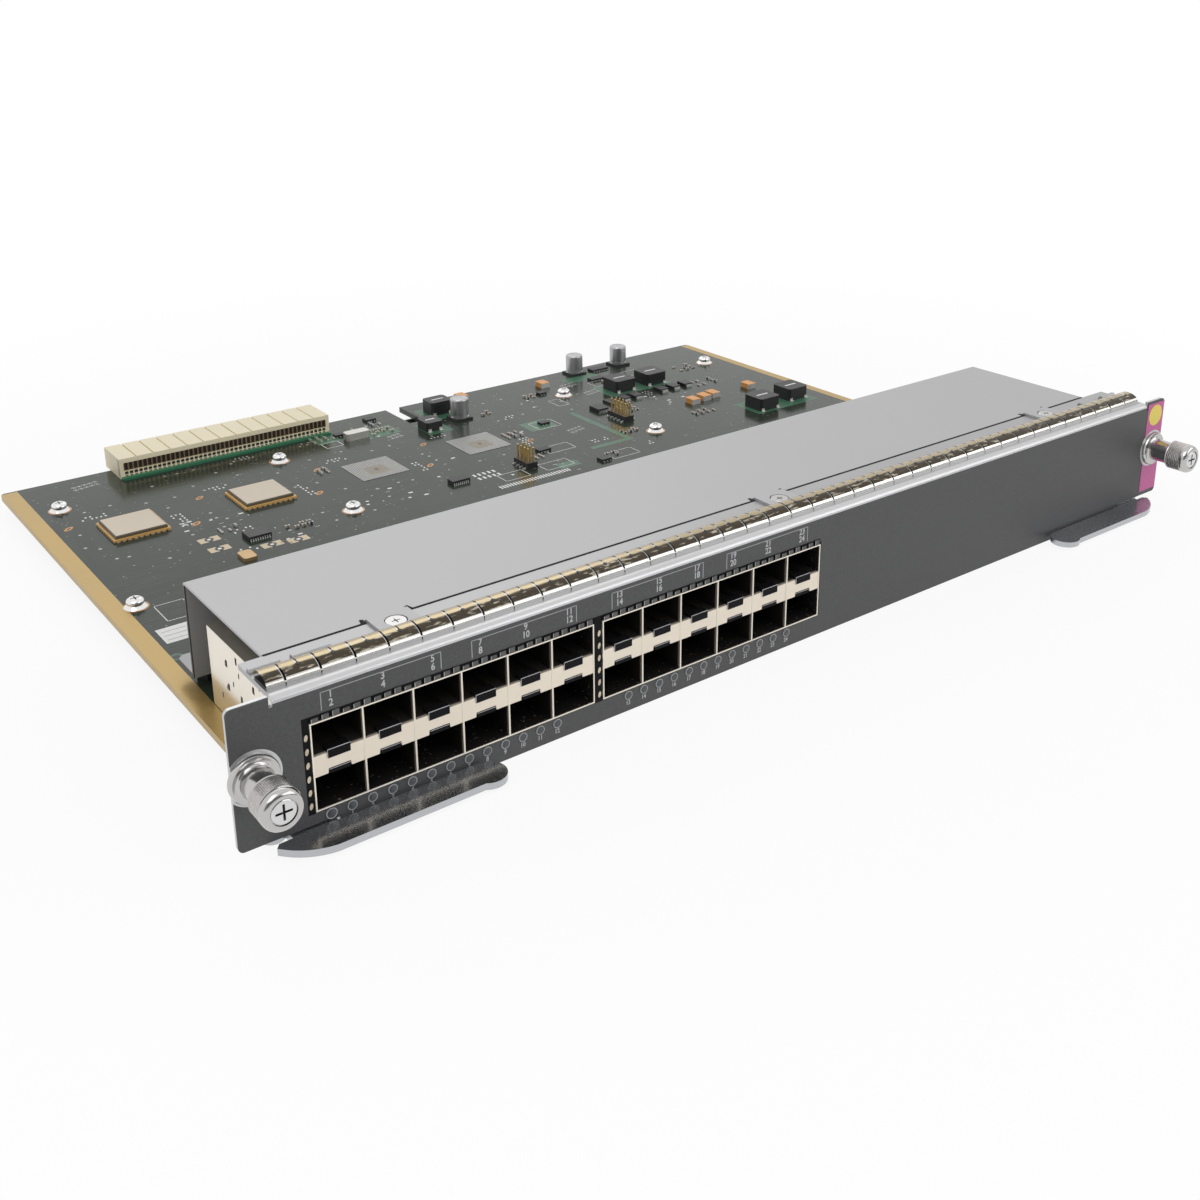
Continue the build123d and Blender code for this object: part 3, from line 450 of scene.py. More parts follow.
# World: white to the camera and behind glass, a bright sky over a dark horizon in polished metal
def studio_world():
    world = bpy.data.worlds.new("studio")
    bpy.context.scene.world = world
    world.use_nodes = True
    tree = world.node_tree
    path = tree.nodes.new("ShaderNodeLightPath")
    seen = maths(tree, "MAXIMUM", path.outputs["Is Camera Ray"], path.outputs["Is Transmission Ray"])
    direction = tree.nodes.new("ShaderNodeTexCoord").outputs["Generated"]
    _, y, z = shader_node(tree, "ShaderNodeSeparateXYZ", Vector=direction).outputs
    height = remap(tree, z, -0.2, 0.9, 0, 1)
    sky = mixed(tree, height, (0.42, 0.42, 0.43), (0.56, 0.56, 0.57))
    dim = times(tree, remap(tree, y, -0.15, -0.55, 0, 1), remap(tree, z, 0.5, 0.85, 1, 0))
    mirrored = mixed(tree, dim, (1, 1, 1), (0.2, 0.2, 0.21))
    white = mixed(tree, path.outputs["Is Glossy Ray"], sky, mirrored)
    dress(tree, tree.nodes["Background"], Color=mixed(tree, seen, white, (1, 1, 1)))


# Floor: white with the card's shadow, fading into the background's white with distance
def floor():
    mesh = bpy.data.meshes.new("floor")
    half, level = 4.0, -0.0003
    corners = ((-half, -half), (half, -half), (half, half), (-half, half))
    mesh.from_pydata([(x, y, level) for x, y in corners], [], [(0, 1, 2, 3)])
    obj = put("floor", mesh)
    material, tree, bsdf = new_material("floor")
    dress(tree, bsdf, Base_Color=(0.9, 0.9, 0.9, 1), Roughness=0.9)
    path = tree.nodes.new("ShaderNodeLightPath")
    seen = maths(tree, "MAXIMUM", path.outputs["Is Camera Ray"],
                 maths(tree, "MAXIMUM", path.outputs["Is Glossy Ray"], path.outputs["Is Transmission Ray"]))
    far = shader_node(tree, "ShaderNodeVectorMath", Vector=object_coordinates(tree))
    far.operation = "LENGTH"
    glow = shader_node(tree, "ShaderNodeEmission", Color=(1, 1, 1, 1), Strength=1.0)
    share = times(tree, seen, remap(tree, far.outputs["Value"], 0.2, 0.45, 0.88, 1.0))
    mix = tree.nodes.new("ShaderNodeMixShader")
    for socket, value in zip(mix.inputs, (share, bsdf.outputs[0], glow.outputs[0])):
        feed(tree, socket, value)
    dress(tree, tree.nodes["Material Output"], Surface=mix.outputs[0])
    mesh.materials.append(material)


# One mesh built up in millimetres from boxes, lathed rounds and flat shapes, each with a material's number
class Piece:
    def __init__(self):
        self.points, self.faces, self.tags = [], [], []

    def add(self, points, faces, tag=0):
        base = len(self.points)
        self.points += points
        self.faces += [[base + i for i in face] for face in faces]
        self.tags += [tag] * len(faces)

    def box(self, x, y, z, tag=0):
        points = [(a, b, c) for a in x for b in y for c in z]
        faces = [(0, 1, 3, 2), (4, 6, 7, 5), (0, 4, 5, 1), (2, 3, 7, 6), (0, 2, 6, 4), (1, 5, 7, 3)]
        self.add(points, faces, tag)

    # Section as (radius, distance along) turned round "Y" or "Z" through centre
    def lathe(self, axis, centre, section, sides, tag=0, closed=False, ripple=None):
        points, faces, count = [], [], len(section)
        for i in range(sides):
            angle = 2 * math.pi * i / sides
            for radius, along in section:
                r = radius + (ripple(angle, along) if ripple else 0)
                a, b = r * math.cos(angle), r * math.sin(angle)
                points.append((centre[0] + a, centre[1] + along, centre[2] + b) if axis == "Y" else
                              (centre[0] + a, centre[1] + b, centre[2] + along))
        for i in range(sides):
            j = (i + 1) % sides
            for k in range(count if closed else count - 1):
                m = (k + 1) % count
                faces.append((i * count + k, i * count + m, j * count + m, j * count + k))
        self.add(points, faces, tag)

    # Flat polygon from plane coordinates; lay maps (u, v) to a point
    def flat(self, outline, lay, tag=0):
        self.add([lay(u, v) for u, v in outline], [tuple(range(len(outline)))], tag)

    def disc(self, centre, radius, lay, sides=16, tag=0, turn=0.0, squeeze=1.0):
        outline = []
        for i in range(sides):
            a = 2 * math.pi * i / sides
            u, v = radius * math.cos(a), radius * squeeze * math.sin(a)
            outline.append((centre[0] + u * math.cos(turn) - v * math.sin(turn),
                            centre[1] + u * math.sin(turn) + v * math.cos(turn)))
        self.flat(outline, lay, tag)

    def stripe(self, u, v, lay, tag=0):
        self.flat([(u[0], v[0]), (u[1], v[0]), (u[1], v[1]), (u[0], v[1])], lay, tag)

    # Cross recess in the middle of a round top: lay maps (u, v, depth) to a point; the recess's walls and
    # floor take the material number inside, which callers give a painted recess shade
    def cross(self, centre, radius, reach, width, depth, lay, top=0, inside=1):
        w = width / 2
        spread = math.asin(w / radius)
        rim, lower = [], []
        for k in range(4):
            c, s = round(math.cos(k * math.pi / 2)), round(math.sin(k * math.pi / 2))

            def at(u, v, d=0.0):
                return lay(centre[0] + u * c - v * s, centre[1] + u * s + v * c, d)

            arc = [spread + (math.pi / 2 - 2 * spread) * i / 6 for i in range(7)]
            sector = [at(w, w), at(reach, w)] + [at(radius * math.cos(a), radius * math.sin(a)) for a in arc]
            sector.append(at(w, reach))
            self.add(sector, [tuple(range(len(sector)))], top)
            edge = radius * math.cos(spread)
            tip = [at(reach, -w), at(edge, -w), at(edge, w), at(reach, w)]
            self.add(tip, [(0, 1, 2, 3)], top)
            rim += [at(reach, -w), at(reach, w), at(w, w)]
            lower += [at(reach * 0.7, -w, depth), at(reach * 0.7, w, depth), at(w, w, depth)]
        walls = [(i, (i + 1) % 12, 12 + (i + 1) % 12, 12 + i) for i in range(12)]
        self.add(rim + lower, walls + [tuple(range(12, 24))], inside)

    def make(self, name, materials, body="card", smooth=False, origin=(0, 0, 0), replaces=()):
        start = place(*origin)
        mesh = bpy.data.meshes.new(name)
        mesh.from_pydata([place(*p) - start for p in self.points], [], self.faces)
        for material in materials:
            mesh.materials.append(material)
        mesh.polygons.foreach_set("material_index", self.tags)
        obj = put(name, mesh)
        obj.location = start
        if smooth:
            mesh.polygons.foreach_set("use_smooth", [True] * len(self.faces))
            mesh.set_sharp_from_angle(angle=math.radians(35))
        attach(obj, body)
        if replaces:
            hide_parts(*replaces)
        return obj


def on_face(proud):
    return lambda u, v: (u, -proud, v)


def on_board(proud):
    return lambda u, v: (u, v, BOARD_TOP + proud)


# A number's outline as flat faces, in millimetres, centred on the origin
def figures(text, height):
    curve = bpy.data.curves.new("figures", "FONT")
    curve.body = text
    curve.size = height / 0.7
    curve.offset = 0.035 * height
    curve.align_x = "CENTER"
    curve.resolution_u = 3
    holder = bpy.data.objects.new("figures", curve)
    mesh = bpy.data.meshes.new_from_object(holder)
    points = [(v.co.x, v.co.y - height / 2) for v in mesh.vertices]
    faces = [tuple(p.vertices) for p in mesh.polygons]
    bpy.data.objects.remove(holder)
    bpy.data.curves.remove(curve)
    bpy.data.meshes.remove(mesh)
    return points, faces


# Port windows, numbers and the lines over the ports
def face_marks():
    (left, right), _, _ = span("cage_shell_left")
    pitch = (right - left) / COLUMNS
    right_start = span("cage_shell_right")[0][0]
    marks = Piece()
    rings = Piece()
    status, window_z, under_z, small = left + 4.1, 5.1, 2.7, 1.35
    upper_z, lower_z, tall = 38.15, 35.75, 1.95
    line_low, line_high, leg_low = 39.0, 39.25, 34.2
    windows = []
    for first, start, step in ((1, left + 9.8, 5.718), (COLUMNS * 2 + 1, right_start + 9.21, 5.709)):
        windows += [(start + step * i, str(first + i)) for i in range(COLUMNS * 2)]
    face = on_face(0.02)

    def number(text, x, z, height):
        points, faces = figures(text, height)
        marks.add([face(x + u * 0.86, z + v) for u, v in points], faces)

    for x, text in windows:
        number(text, x, under_z, small)
    for x, inner, outer in [(status, 1.25, 1.55)] + [(x, 1.12, 1.36) for x, _ in windows]:
        rings.lathe("Y", (x, 0, window_z), [(inner, -0.28), (outer, -0.3), (outer, 0.0)], 28, 0)
        rings.lathe("Y", (x, 0, window_z), [(0.0, -0.34), (inner * 0.55, -0.32), (inner, -0.27)], 28, 1)
    for start, first in ((left, 1), (right_start, COLUMNS * 2 + 1)):
        for i in range(COLUMNS):
            x = start + pitch * (i + 0.5) - 0.9
            number(str(first + 2 * i), x, upper_z, tall)
            number(str(first + 2 * i + 1), x, lower_z, tall)
        for group in (0, 3):
            a = start + pitch * (group + 0.5) - 3.5
            b = start + pitch * (group + 2.5) + 1.5
            marks.stripe((a, b), (line_low, line_high), face, 1)
            for x in (a, b):
                marks.stripe(about(x, 0.14), (leg_low, line_high), face, 1)
    marks.make("printed_marks", [grey_ink_and_highlight, dim_ink])
    rings.make("window_rings", [dim_ink, dark_glass], smooth=True)


# Gasket as a smooth arch: full slots every pitch, half slots between them, white lip in front
def gasket():
    (left, right), _, (low, _) = span("emi_gasket")
    pitch, first, crest = 9.35, 0.32, 5
    arch = [(4.05, 0.55), (4.15, 1.0), (4.5, 1.55), (5.2, 2.1), (6.2, 2.55), (7.2, 2.8), (8.2, 2.93),
            (9.2, 2.96), (10.2, 2.75), (11.1, 2.3), (11.8, 1.6), (12.3, 0.75)]
    stations = {left, right}
    spans = []
    k = math.ceil(left / pitch) - 1
    while (k + first) * pitch < right - 1:
        centre = (k + first) * pitch
        spans.append((centre, 0.3, 0.35, 1))
        spans.append((centre + pitch / 2, 0.26, 0.75, crest))
        k += 1
    spans = [s for s in spans if left + 1 < s[0] < right - 1]
    for centre, half, _, _ in spans:
        stations |= {centre - half, centre + half}
    xs = sorted(stations)
    band = Piece()
    for a, b in zip(xs, xs[1:]):
        gap = [s for s in spans if abs((a + b) / 2 - s[0]) < s[1]]
        last = gap[0][3] if gap else len(arch) - 1
        points = [(x, y, low + h) for x in (a, b) for y, h in arch[:last + 1]]
        n = last + 1
        band.add(points, [(i, i + 1, n + i + 1, n + i) for i in range(n - 1)], 0)
    for centre, half, wide, start in spans:
        # Bright strip on one side of each slot: a painted highlight
        x = centre - half - 0.14
        edge = [(u, y, low + h + 0.02) for u in (x, x + 0.14) for y, h in arch[start:]]
        n = len(arch) - start
        band.add(edge, [(i, i + 1, n + i + 1, n + i) for i in range(n - 1)], 2)
        # Black diamond openings: painted shade seen through them
        if start == crest:
            y, h = arch[crest]
            band.flat([(centre - wide, 0), (centre, -0.8), (centre + wide, 0), (centre, 0.6)],
                      lambda u, v: (u, y + v, low + h + 0.05 + v * 0.2), 1)
    band.make("gasket_arch", [gasket_metal, black_plastic, bright_steel], smooth=True,
              replaces=("emi_gasket",))
    lip = Piece()
    lip.box((left, right), (4.0, 4.14), (low, low + 0.62))
    # Black sheet under the arch and black lines at the full slots: painted shade seen through the slots
    lip.box((left + 0.2, right - 0.2), (4.3, 12.0), (low, low + 0.25), 1)
    for centre, _, _, start in spans:
        if start == 1:
            lip.box(about(centre, 0.16), (4.0, 4.02), (low + 0.02, low + 0.64), 1)
    lip.make("gasket_lip", [bright_steel, black_plastic])


# Polished ferrules of the captive screws
def ferrules():
    x, z = screw_centre()
    ferrule = Piece()
    section = [(2.2, 2.3), (3.0, 2.3), (3.0, 0.0), (RING_R, 0.0), (RING_R, -0.9), (6.35, -1.35), (5.9, -1.5),
               (5.3, -1.3), (4.9, -1.3), (4.6, -1.5), (4.25, -1.9), (4.25, -9.3), (4.05, -9.5), (3.5, -9.5),
               (3.5, -0.6), (2.2, -0.6)]
    for side in (-1, 1):
        ferrule.lathe("Y", (side * x, 0, z), section, 64, closed=True)
    ferrule.make("polished_ferrules", [polished], smooth=True, replaces=("ferrules",))


# Knurled caps of the captive screws, with a polished nose and a cross insert
def knurled_caps():
    x, z = screw_centre()

    def knurl(angle, along):
        if not -14.9 < along < -9.4:
            return 0.0
        return 0.11 * (math.sin(36 * angle + 4.4 * along) * math.sin(36 * angle - 4.4 * along) - 1)

    steps = 26
    grip = [(5.45, -9.3 - 5.7 * i / steps) for i in range(steps + 1)]
    nose = [(5.45, -15.0), (5.3, -15.1), (5.3, -15.3), (5.48, -15.45), (5.48, -15.9), (5.3, -16.6),
            (4.9, -17.15), (4.3, -17.45), (3.75, -17.5), (3.45, -17.4), (3.4, -16.7), (3.2, -16.7)]
    for side, name in ((-1, "left"), (1, "right")):
        centre = (side * x, 0, z)
        cap = Piece()
        cap.lathe("Y", centre, [(4.55, -8.5), (4.75, -8.5), (5.45, -9.2)] + grip, 144, 0, ripple=knurl)
        cap.lathe("Y", centre, nose, 64, 1)
        cap.lathe("Y", centre, [(3.2, -16.7), (3.2, -17.2), (3.05, -17.3)], 48, 2)
        cap.cross((side * x, z), 3.05, 2.15, 0.62, 1.0, lambda u, v, d: (u, d - 17.3, v), 2, 3)
        cap.lathe("Y", centre, [(4.55, -8.5), (4.55, -15.3), (0, -15.3)], 48, 1)
        cap.make(name + "_knurled_cap", [knurled, polished, bright_steel, recess_shade], body=name + "_screw",
                 smooth=True, origin=(side * x, -13, z), replaces=(name + "_screw_knob",))


# Coil springs in the ferrules, each with a mesh of its own; the real springs shorten as their screws are
# pushed in
def screw_springs():
    wire, turns, steps = 0.26, 6, 20
    for name in ("left_screw", "right_screw"):
        (left, right), (front, back), (low, high) = span(name + "_spring")
        x, z, radius = (left + right) / 2, (low + high) / 2, (high - low) / 2 - wire
        coil = Piece()
        points, sides = [], 6
        for i in range(turns * steps + 1):
            turn = 2 * math.pi * i / steps
            y = front + wire + (back - front - 2 * wire) * i / (turns * steps)
            for k in range(sides):
                a = 2 * math.pi * k / sides
                r = radius + wire * math.cos(a)
                points.append((x + r * math.cos(turn), y + wire * math.sin(a), z + r * math.sin(turn)))
        faces = []
        for i in range(turns * steps):
            here, there = sides * i, sides * (i + 1)
            for k in range(sides):
                after = (k + 1) % sides
                faces.append((here + k, here + after, there + after, there + k))
        coil.add(points, faces)
        obj = coil.make(name + "_coil", [steel], smooth=True, replaces=(name + "_spring",))
        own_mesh(obj)


# Board screws with dished washers, domed heads and cross recesses
def pan_heads():
    heads = Piece()
    low = span("board_screws")[2][0]
    pan = [(1.5, low), (1.5, 6.8), (3.9, 6.8), (3.9, 7.0), (3.6, 7.25), (3.0, 7.9), (2.6, 8.15), (2.95, 8.4),
           (3.0, 8.8), (2.85, 9.3), (2.45, 9.75), (1.9, 10.0)]
    for x, y in BOARD_SCREWS:
        heads.lathe("Z", (x, y, 0), pan, 40, 0)
        heads.cross((x, y), 1.9, 1.5, 0.45, 0.9, lambda u, v, d: (u, v, 10.0 - d), 0, 1)
        heads.lathe("Z", (x, y, 0), [(3.9, BOARD_TOP + 0.03), (4.35, BOARD_TOP + 0.03)], 40, 2)
    heads.make("pan_heads", [nickel, recess_shade, copper], smooth=True, replaces=("board_screws",))


# Countersunk screws in the shield's tabs
def flush_heads():
    flush = Piece()
    (left, right), (front, _), (low, top) = span("shield_screws")
    middle = front + HEAD_R
    countersunk = [(1.5, low), (1.5, top - 1.4), (2.95, top - 0.15), (2.8, top)]
    for x in (left + HEAD_R, 0.0, right - HEAD_R):
        flush.lathe("Z", (x, middle, 0), countersunk, 40, 0)
        flush.cross((x, middle), 2.8, 1.25, 0.36, 0.5, lambda u, v, d: (u, v, top - d), 0, 1)
    flush.make("flush_heads", [polished, recess_shade], smooth=True, replaces=("shield_screws",))


# Screws in the shield's feet
def foot_heads():
    feet = Piece()
    (left, right), (front, back), (low, top) = span("foot_screws")
    middle = (front + back) / 2
    button = [(1.5, low), (1.5, top - 1.4), (2.9, top - 1.4), (2.9, top - 0.8), (2.5, top - 0.2), (1.9, top)]
    for x in (left + HEAD_R, right - HEAD_R):
        feet.lathe("Z", (x, middle, 0), button, 40, 0)
        feet.cross((x, middle), 1.9, 1.4, 0.45, 0.8, lambda u, v, d: (u, v, top - d), 0, 1)
    feet.make("foot_heads", [polished, recess_shade], smooth=True, replaces=("foot_screws",))


# Front of the backplane connector: rows of slots between thin ribs, and its pins at the back
def backplane():
    (left, right), (front, back), _ = span("backplane_housing")
    grid = Piece()
    count = 46
    step = (right - left - 3.2) / count
    # Black back behind the ribs: painted shade inside the slots
    grid.box((left + 1.5, right - 1.5), (front + 0.36, front + 0.4), (8.4, 13.4))
    for i in range(count + 1):
        x = left + 1.6 + i * step
        grid.box(about(x, 0.26), (front + 0.06, front + 0.36), (10.1, 13.4), 1)
        grid.box(about(x, 0.22), (front + 0.06, front + 0.36), (8.4, 9.6), 2)
        if i < count:
            grid.box((x + 0.5, x + step - 0.5), (front + 0.02, front + 0.06), (9.72, 9.98), 3)
            # Black line under each slot: painted shade
            grid.box((x + 0.45, x + step - 0.45), about(front, 0.02), (7.8, 8.2))
    grid.box((left + 1.5, right - 1.5), (front + 0.06, front + 0.36), (9.6, 10.1), 2)
    for i in range(7):
        z = 7.6 + i
        corners = ((0.3, 0), (2.6, 0.7), (2.6, 1.1), (0.3, 0.4))
        for x in (left - 0.02, right + 0.02):
            grid.add([(x, front + dy, z + dz) for dy, dz in corners], [(0, 1, 2, 3)], 0)
    for i in range(count):
        for j in range(4):
            x = left + 1.6 + (i + 0.5) * step
            z = 9.1 + 1.2 * j
            grid.box(about(x, 0.2), (back - 8, back - 3.5), about(z, 0.2), 3)
    grid.make("backplane_grid", [black_plastic, brown_gold, cream_plastic, gold])


# Solder balls at the chips' edges, every other one painted black as shade between them
def edge_balls():
    balls = Piece()
    (low_x, high_x), (front, back), (low, _) = span("chip_substrates")
    tall, out, into = (low, low + 0.42), 0.02, 0.1
    half = (back - front) / 2
    y = (front + back) / 2
    for x in (low_x + half, high_x - half):
        for i in range(20):
            t = -half + (i + 0.5) * 2 * half / 20
            balls.box(about(x + t, 0.28), (y - half - out, y - half + into), tall, i % 2)
            balls.box((x - half - out, x - half + into), about(y + t, 0.28), tall, i % 2)
            balls.box((x + half - into, x + half + out), about(y + t, 0.28), tall, i % 2)
    balls.make("edge_balls", [black_plastic, solder])


# Bare footprints with their dotted pads
def footprint_dots():
    dots = Piece()
    (low_x, high_x), (front, back), (_, high) = span("chip_footprints")
    half = (back - front) / 2
    lay = on_board(high - BOARD_TOP + 0.02)
    rows = 24
    for x in (low_x + half, high_x - half):
        for i in range(rows):
            for j in range(rows):
                u, v = (i + 0.5) / rows * 2 - 1, (j + 0.5) / rows * 2 - 1
                if abs(u) < 0.12 and abs(v + 0.1) < 0.12:
                    continue
                inner = abs(u) < 0.45 and abs(v + 0.15) < 0.42
                dots.disc((x + u * half, (front + back) / 2 + v * half), 0.3, lay, 8, 1 if inner else 0)
    dots.make("footprint_dots", [solder, tan_pad])


# Bare copper on the board: test dots, clip slots, pads; the holes and slots in them are painted dark as shade
def board_copper(rng):
    left, right = span("circuit_board")[0]
    marks = Piece()
    lay = on_board(0.02)
    higher = on_board(0.03)
    dots = [(-127, 243), (-119, 251), (-114, 251), (-107, 251), (-101, 242), (-92, 248), (-95, 234),
            (-114, 233), (-112, 226), (-124, 226), (-135, 227), (-130, 217), (-147, 233), (-157, 232),
            (-165, 211), (-167, 198), (-163, 194), (-161, 182), (-146, 171), (-157, 181), (-132, 186),
            (-119, 202), (-119, 196), (-116, 193), (-120, 186), (-73, 206), (-81, 226), (-82, 207),
            (-85, 176), (-84, 166), (-102, 168), (-64, 232), (-49, 233), (-38, 226), (-29, 227), (-67, 193),
            (-57, 185), (-57, 175), (-47, 186), (-68, 166), (-23, 209), (-22, 205), (-22, 199), (-41, 185),
            (-8, 187), (4, 187), (26, 226), (32, 226), (44, 252), (34, 252), (48, 240), (40, 227),
            (65, 232), (103, 207), (103, 197), (62, 219)]
    for x, y in dots:
        marks.disc((x, y), 0.66, lay, 14, 4)
    for _ in range(70):
        x, y = rng.uniform(left + 12, right - 12), rng.uniform(96, 262)
        if not (-72 < x < 25 and 180 < y < 215) and not (-160 < x < -85 and 190 < y < 220):
            marks.disc((x, y), 0.3, lay, 10, 4)
    for x in CHIP_XS:
        for dx, dy in ((-19.6, 13.4), (20.0, -10.7)):
            centre = (x + dx, CHIP_Y + dy)
            marks.disc(centre, 2.2, lay, 20, 1, 0.7, 0.55)
            marks.disc(centre, 1.3, higher, 16, 2, 0.7, 0.3)
    for x, y in ((-129, 178), (-129, 168), (-112.5, 160), (-103, 158.5)):
        for dx in (-2.3, 2.3):
            marks.stripe(about(x + dx, 1.6), about(y, 2.2), lay, 3)
        marks.disc((x, y), 1.7, higher, 18, 2)
        marks.disc((x, y), 0.75, on_board(0.04), 14, 0)
    rows = [(-147, 259, 5), (48, 194, 4), (84, 250, 4), (86, 234, 4), (-20, 236, 3)]
    for x, y, columns in rows:
        for i in range(columns):
            for dy in (-1.5, 1.5):
                at = (x + (i - columns / 2) * 2.2, y + dy + 0.4 * i)
                marks.disc(at, 1.05, lay, 14, 4)
                marks.disc(at, 0.85, higher, 14, 2)
                marks.disc(at, 0.4, on_board(0.04), 10, 0)
    for i in range(26):
        x = -17.4 + 33 * i / 25
        marks.stripe(about(x, 0.36), (154.4, 157.4), lay)
    for i in range(5):
        for j in range(2):
            x, y = -19 + 2.3 * i, 168 + 4.2 * j
            marks.stripe(about(x, 0.5), (y, y + 2.6), lay)
    groups = [(-132, 196, 3, 6), (-160, 224, 6, 2), (-82, 196, 3, 6), (-110, 224, 5, 2), (-125, 160, 5, 2),
              (-119, 178, 6, 2), (-60, 224, 6, 2), (-32, 192, 2, 5), (-10, 224, 5, 2), (20, 192, 3, 4),
              (30, 226, 4, 2), (-90, 250, 6, 2), (-60, 250, 5, 2), (44, 176, 5, 2), (60, 160, 4, 2),
              (104, 214, 3, 3)]
    for x, y, across, along in groups:
        for i in range(across):
            for j in range(along):
                if rng.random() < 0.7:
                    u, v = x + 1.7 * i, y + 2.4 * j
                    marks.stripe(about(u, 0.34), about(v, 0.6), lay)
    marks.disc((-170.2, 99.2), 2.2, lay, 24, 5)
    marks.disc((-170.2, 99.2), 1.2, higher, 20, 2)
    marks.make("board_copper", [solder, copper, hole_shade, tan_pad, test_dot_and_highlight, green_line])


# Bare gold strips along the board's side edges
def edge_strips():
    (left, right), (front, back), _ = span("circuit_board")
    strips = Piece()
    for ends in ((left - 0.02, left + 6.0), (right - 4.4, right + 0.02)):
        strips.box(ends, (front + 1, back - 1), (4.4 + 0.2, BOARD_TOP + 0.04))
    strips.make("edge_strips", [gold_strip])


# Outlines, label and greener patches on the board
def board_ink(rng):
    lay = on_board(0.02)
    higher = on_board(0.03)
    ink = Piece()
    ink.stripe((-169.5, -159), (109, 120), lay)
    for i in range(3):
        ink.stripe((-168.4, -160.4), (111 + 3 * i, 111.5 + 3 * i), higher, 1)
    outlines = [(-164, -154, 123.7, 137), (-152, -146, 120, 128), (34, 46, 204, 214), (8, 22, 160, 168),
                (38, 52, 154, 162), (-12, 0, 160, 168), (92, 108, 240, 248), (20, 34, 176, 184),
                (60, 66, 226, 236), (-52, -44, 240, 247), (112, 132, 244, 252)]
    for a, b, c, d in outlines:
        for v in ((c, c + 0.3), (d - 0.3, d)):
            ink.stripe((a, b), v, lay)
        for u in ((a, a + 0.3), (b - 0.3, b)):
            ink.stripe(u, (c, d), lay)
    for _ in range(90):
        x, y = rng.choice([(-120, 190), (-100, 165), (-25, 190), (20, 210), (90, 245), (60, 235), (110, 205),
                           (-55, 175), (-20, 245), (5, 160)])
        x, y = x + rng.uniform(-14, 14), y + rng.uniform(-9, 9)
        if abs(y - CHIP_Y) > 11.5 or min(abs(x - c) for c in CHIP_XS) > 11.5:
            ink.stripe((x, x + rng.choice((0.3, 1.2, 1.8))), (y, y + rng.choice((0.25, 1.1))), lay)
    ink.stripe((57.2, 60.2), (169, 215), lay, 2)
    ink.stripe((38, 57.2), (169, 172), lay, 2)
    patches = [(30, 44, 204, 216), (-53, -42, 246, 258), (-31, -16, 240, 252), (2, 20, 244, 262),
               (-8, 4, 228, 244), (88, 126, 222, 240), (126, 164, 160, 178), (14, 24, 158, 164),
               (84, 104, 252, 260)]
    for a, b, c, d in patches:
        ink.stripe((a, b), (c, d), on_board(0.01), 2)
    ink.make("board_ink", [white_ink, grey_ink_and_highlight, green_line])


# Small surface-mount parts: capacitors, resistors and flat black packages
def small_parts():
    rng = random.Random(3)
    parts = Piece()

    def chip_part(x, y, length, width, height, tag, turned):
        along, across = (y, x) if turned else (x, y)
        half, side, lip = length / 2, width / 2, 0.03
        forms = [(about(along, half), about(across, side), on_top(0, height), tag)]
        for s in (-1, 1):
            cap = sorted((along + s * half + s * lip, along + s * (half - length * 0.22)))
            forms.append((cap, (across - side - lip, across + side + lip),
                          (BOARD_TOP, BOARD_TOP + height + lip), 2))
        for first, second, tall, number in forms:
            parts.box(*((second, first) if turned else (first, second)), tall, number)

    clusters = [(-47, 254, 4, 3, 3.0, True), (-22, 247, 4, 3, 3.0, False), (-24, 258, 5, 2, 3.4, True),
                (30, 240, 3, 2, 3.4, False), (22, 207, 3, 3, 3.2, True), (84, 205, 3, 4, 3.2, False),
                (106, 244, 4, 2, 3.6, True), (60, 248, 3, 2, 3.4, False), (-118, 184, 3, 2, 3.2, True),
                (-96, 171, 4, 2, 2.8, False), (44, 161, 3, 2, 3.6, False), (14, 177, 3, 2, 3.0, True),
                (140, 215, 4, 3, 3.6, True), (66, 180, 3, 2, 3.2, False), (-64, 218, 2, 3, 3.2, True),
                (-138, 116, 3, 3, 4.0, False), (110, 180, 4, 2, 3.4, True), (148, 240, 3, 3, 3.8, False)]
    for x, y, nx, ny, step, turned in clusters:
        for i in range(nx):
            for j in range(ny):
                if rng.random() < 0.78:
                    chip_part(x + (i - nx / 2) * step, y + (j - ny / 2) * step * 0.8, 1.7, 0.9,
                              rng.choice((0.5, 0.85)), rng.choice((0, 1, 1)), turned)
    packages = [(109.8, 263, 10, 4.5), (99, 250, 8, 4), (83, 214, 6, 10), (40, 210, 4.5, 3.5),
                (20, 181, 6, 3.5), (-20, 263, 5, 4), (-41, 252, 4, 3), (34, 156, 5, 4), (64, 247, 4, 3)]
    for x, y, w, d in packages:
        parts.box(about(x, w / 2), about(y, d / 2), on_top(0, 1.1))
        for i in range(int(w / 1.6)):
            u = x - w / 2 + 0.8 + 1.6 * i
            parts.box(about(u, 0.25), (y - d / 2 - 0.7, y + d / 2 + 0.7), on_top(0, 0.25), 2)
    parts.make("small_parts", [black_plastic, tan_ceramic, solder])


# Can capacitors with rolled rims
def rolled_cans():
    cans = Piece()
    can = [(0, 7.8), (4.2, 7.8), (4.2, 8.15), (3.85, 8.35), (3.85, 8.6), (4.2, 8.95), (4.2, 15.9),
           (4.1, 16.4), (3.75, 16.75), (3.3, 16.8), (3.1, 16.65), (0, 16.65)]
    for x, y in CANS:
        cans.lathe("Z", (x, y, 0), can, 56, 0)
    cans.make("rolled_cans", [can_metal], smooth=True, replaces=("can_capacitors",))


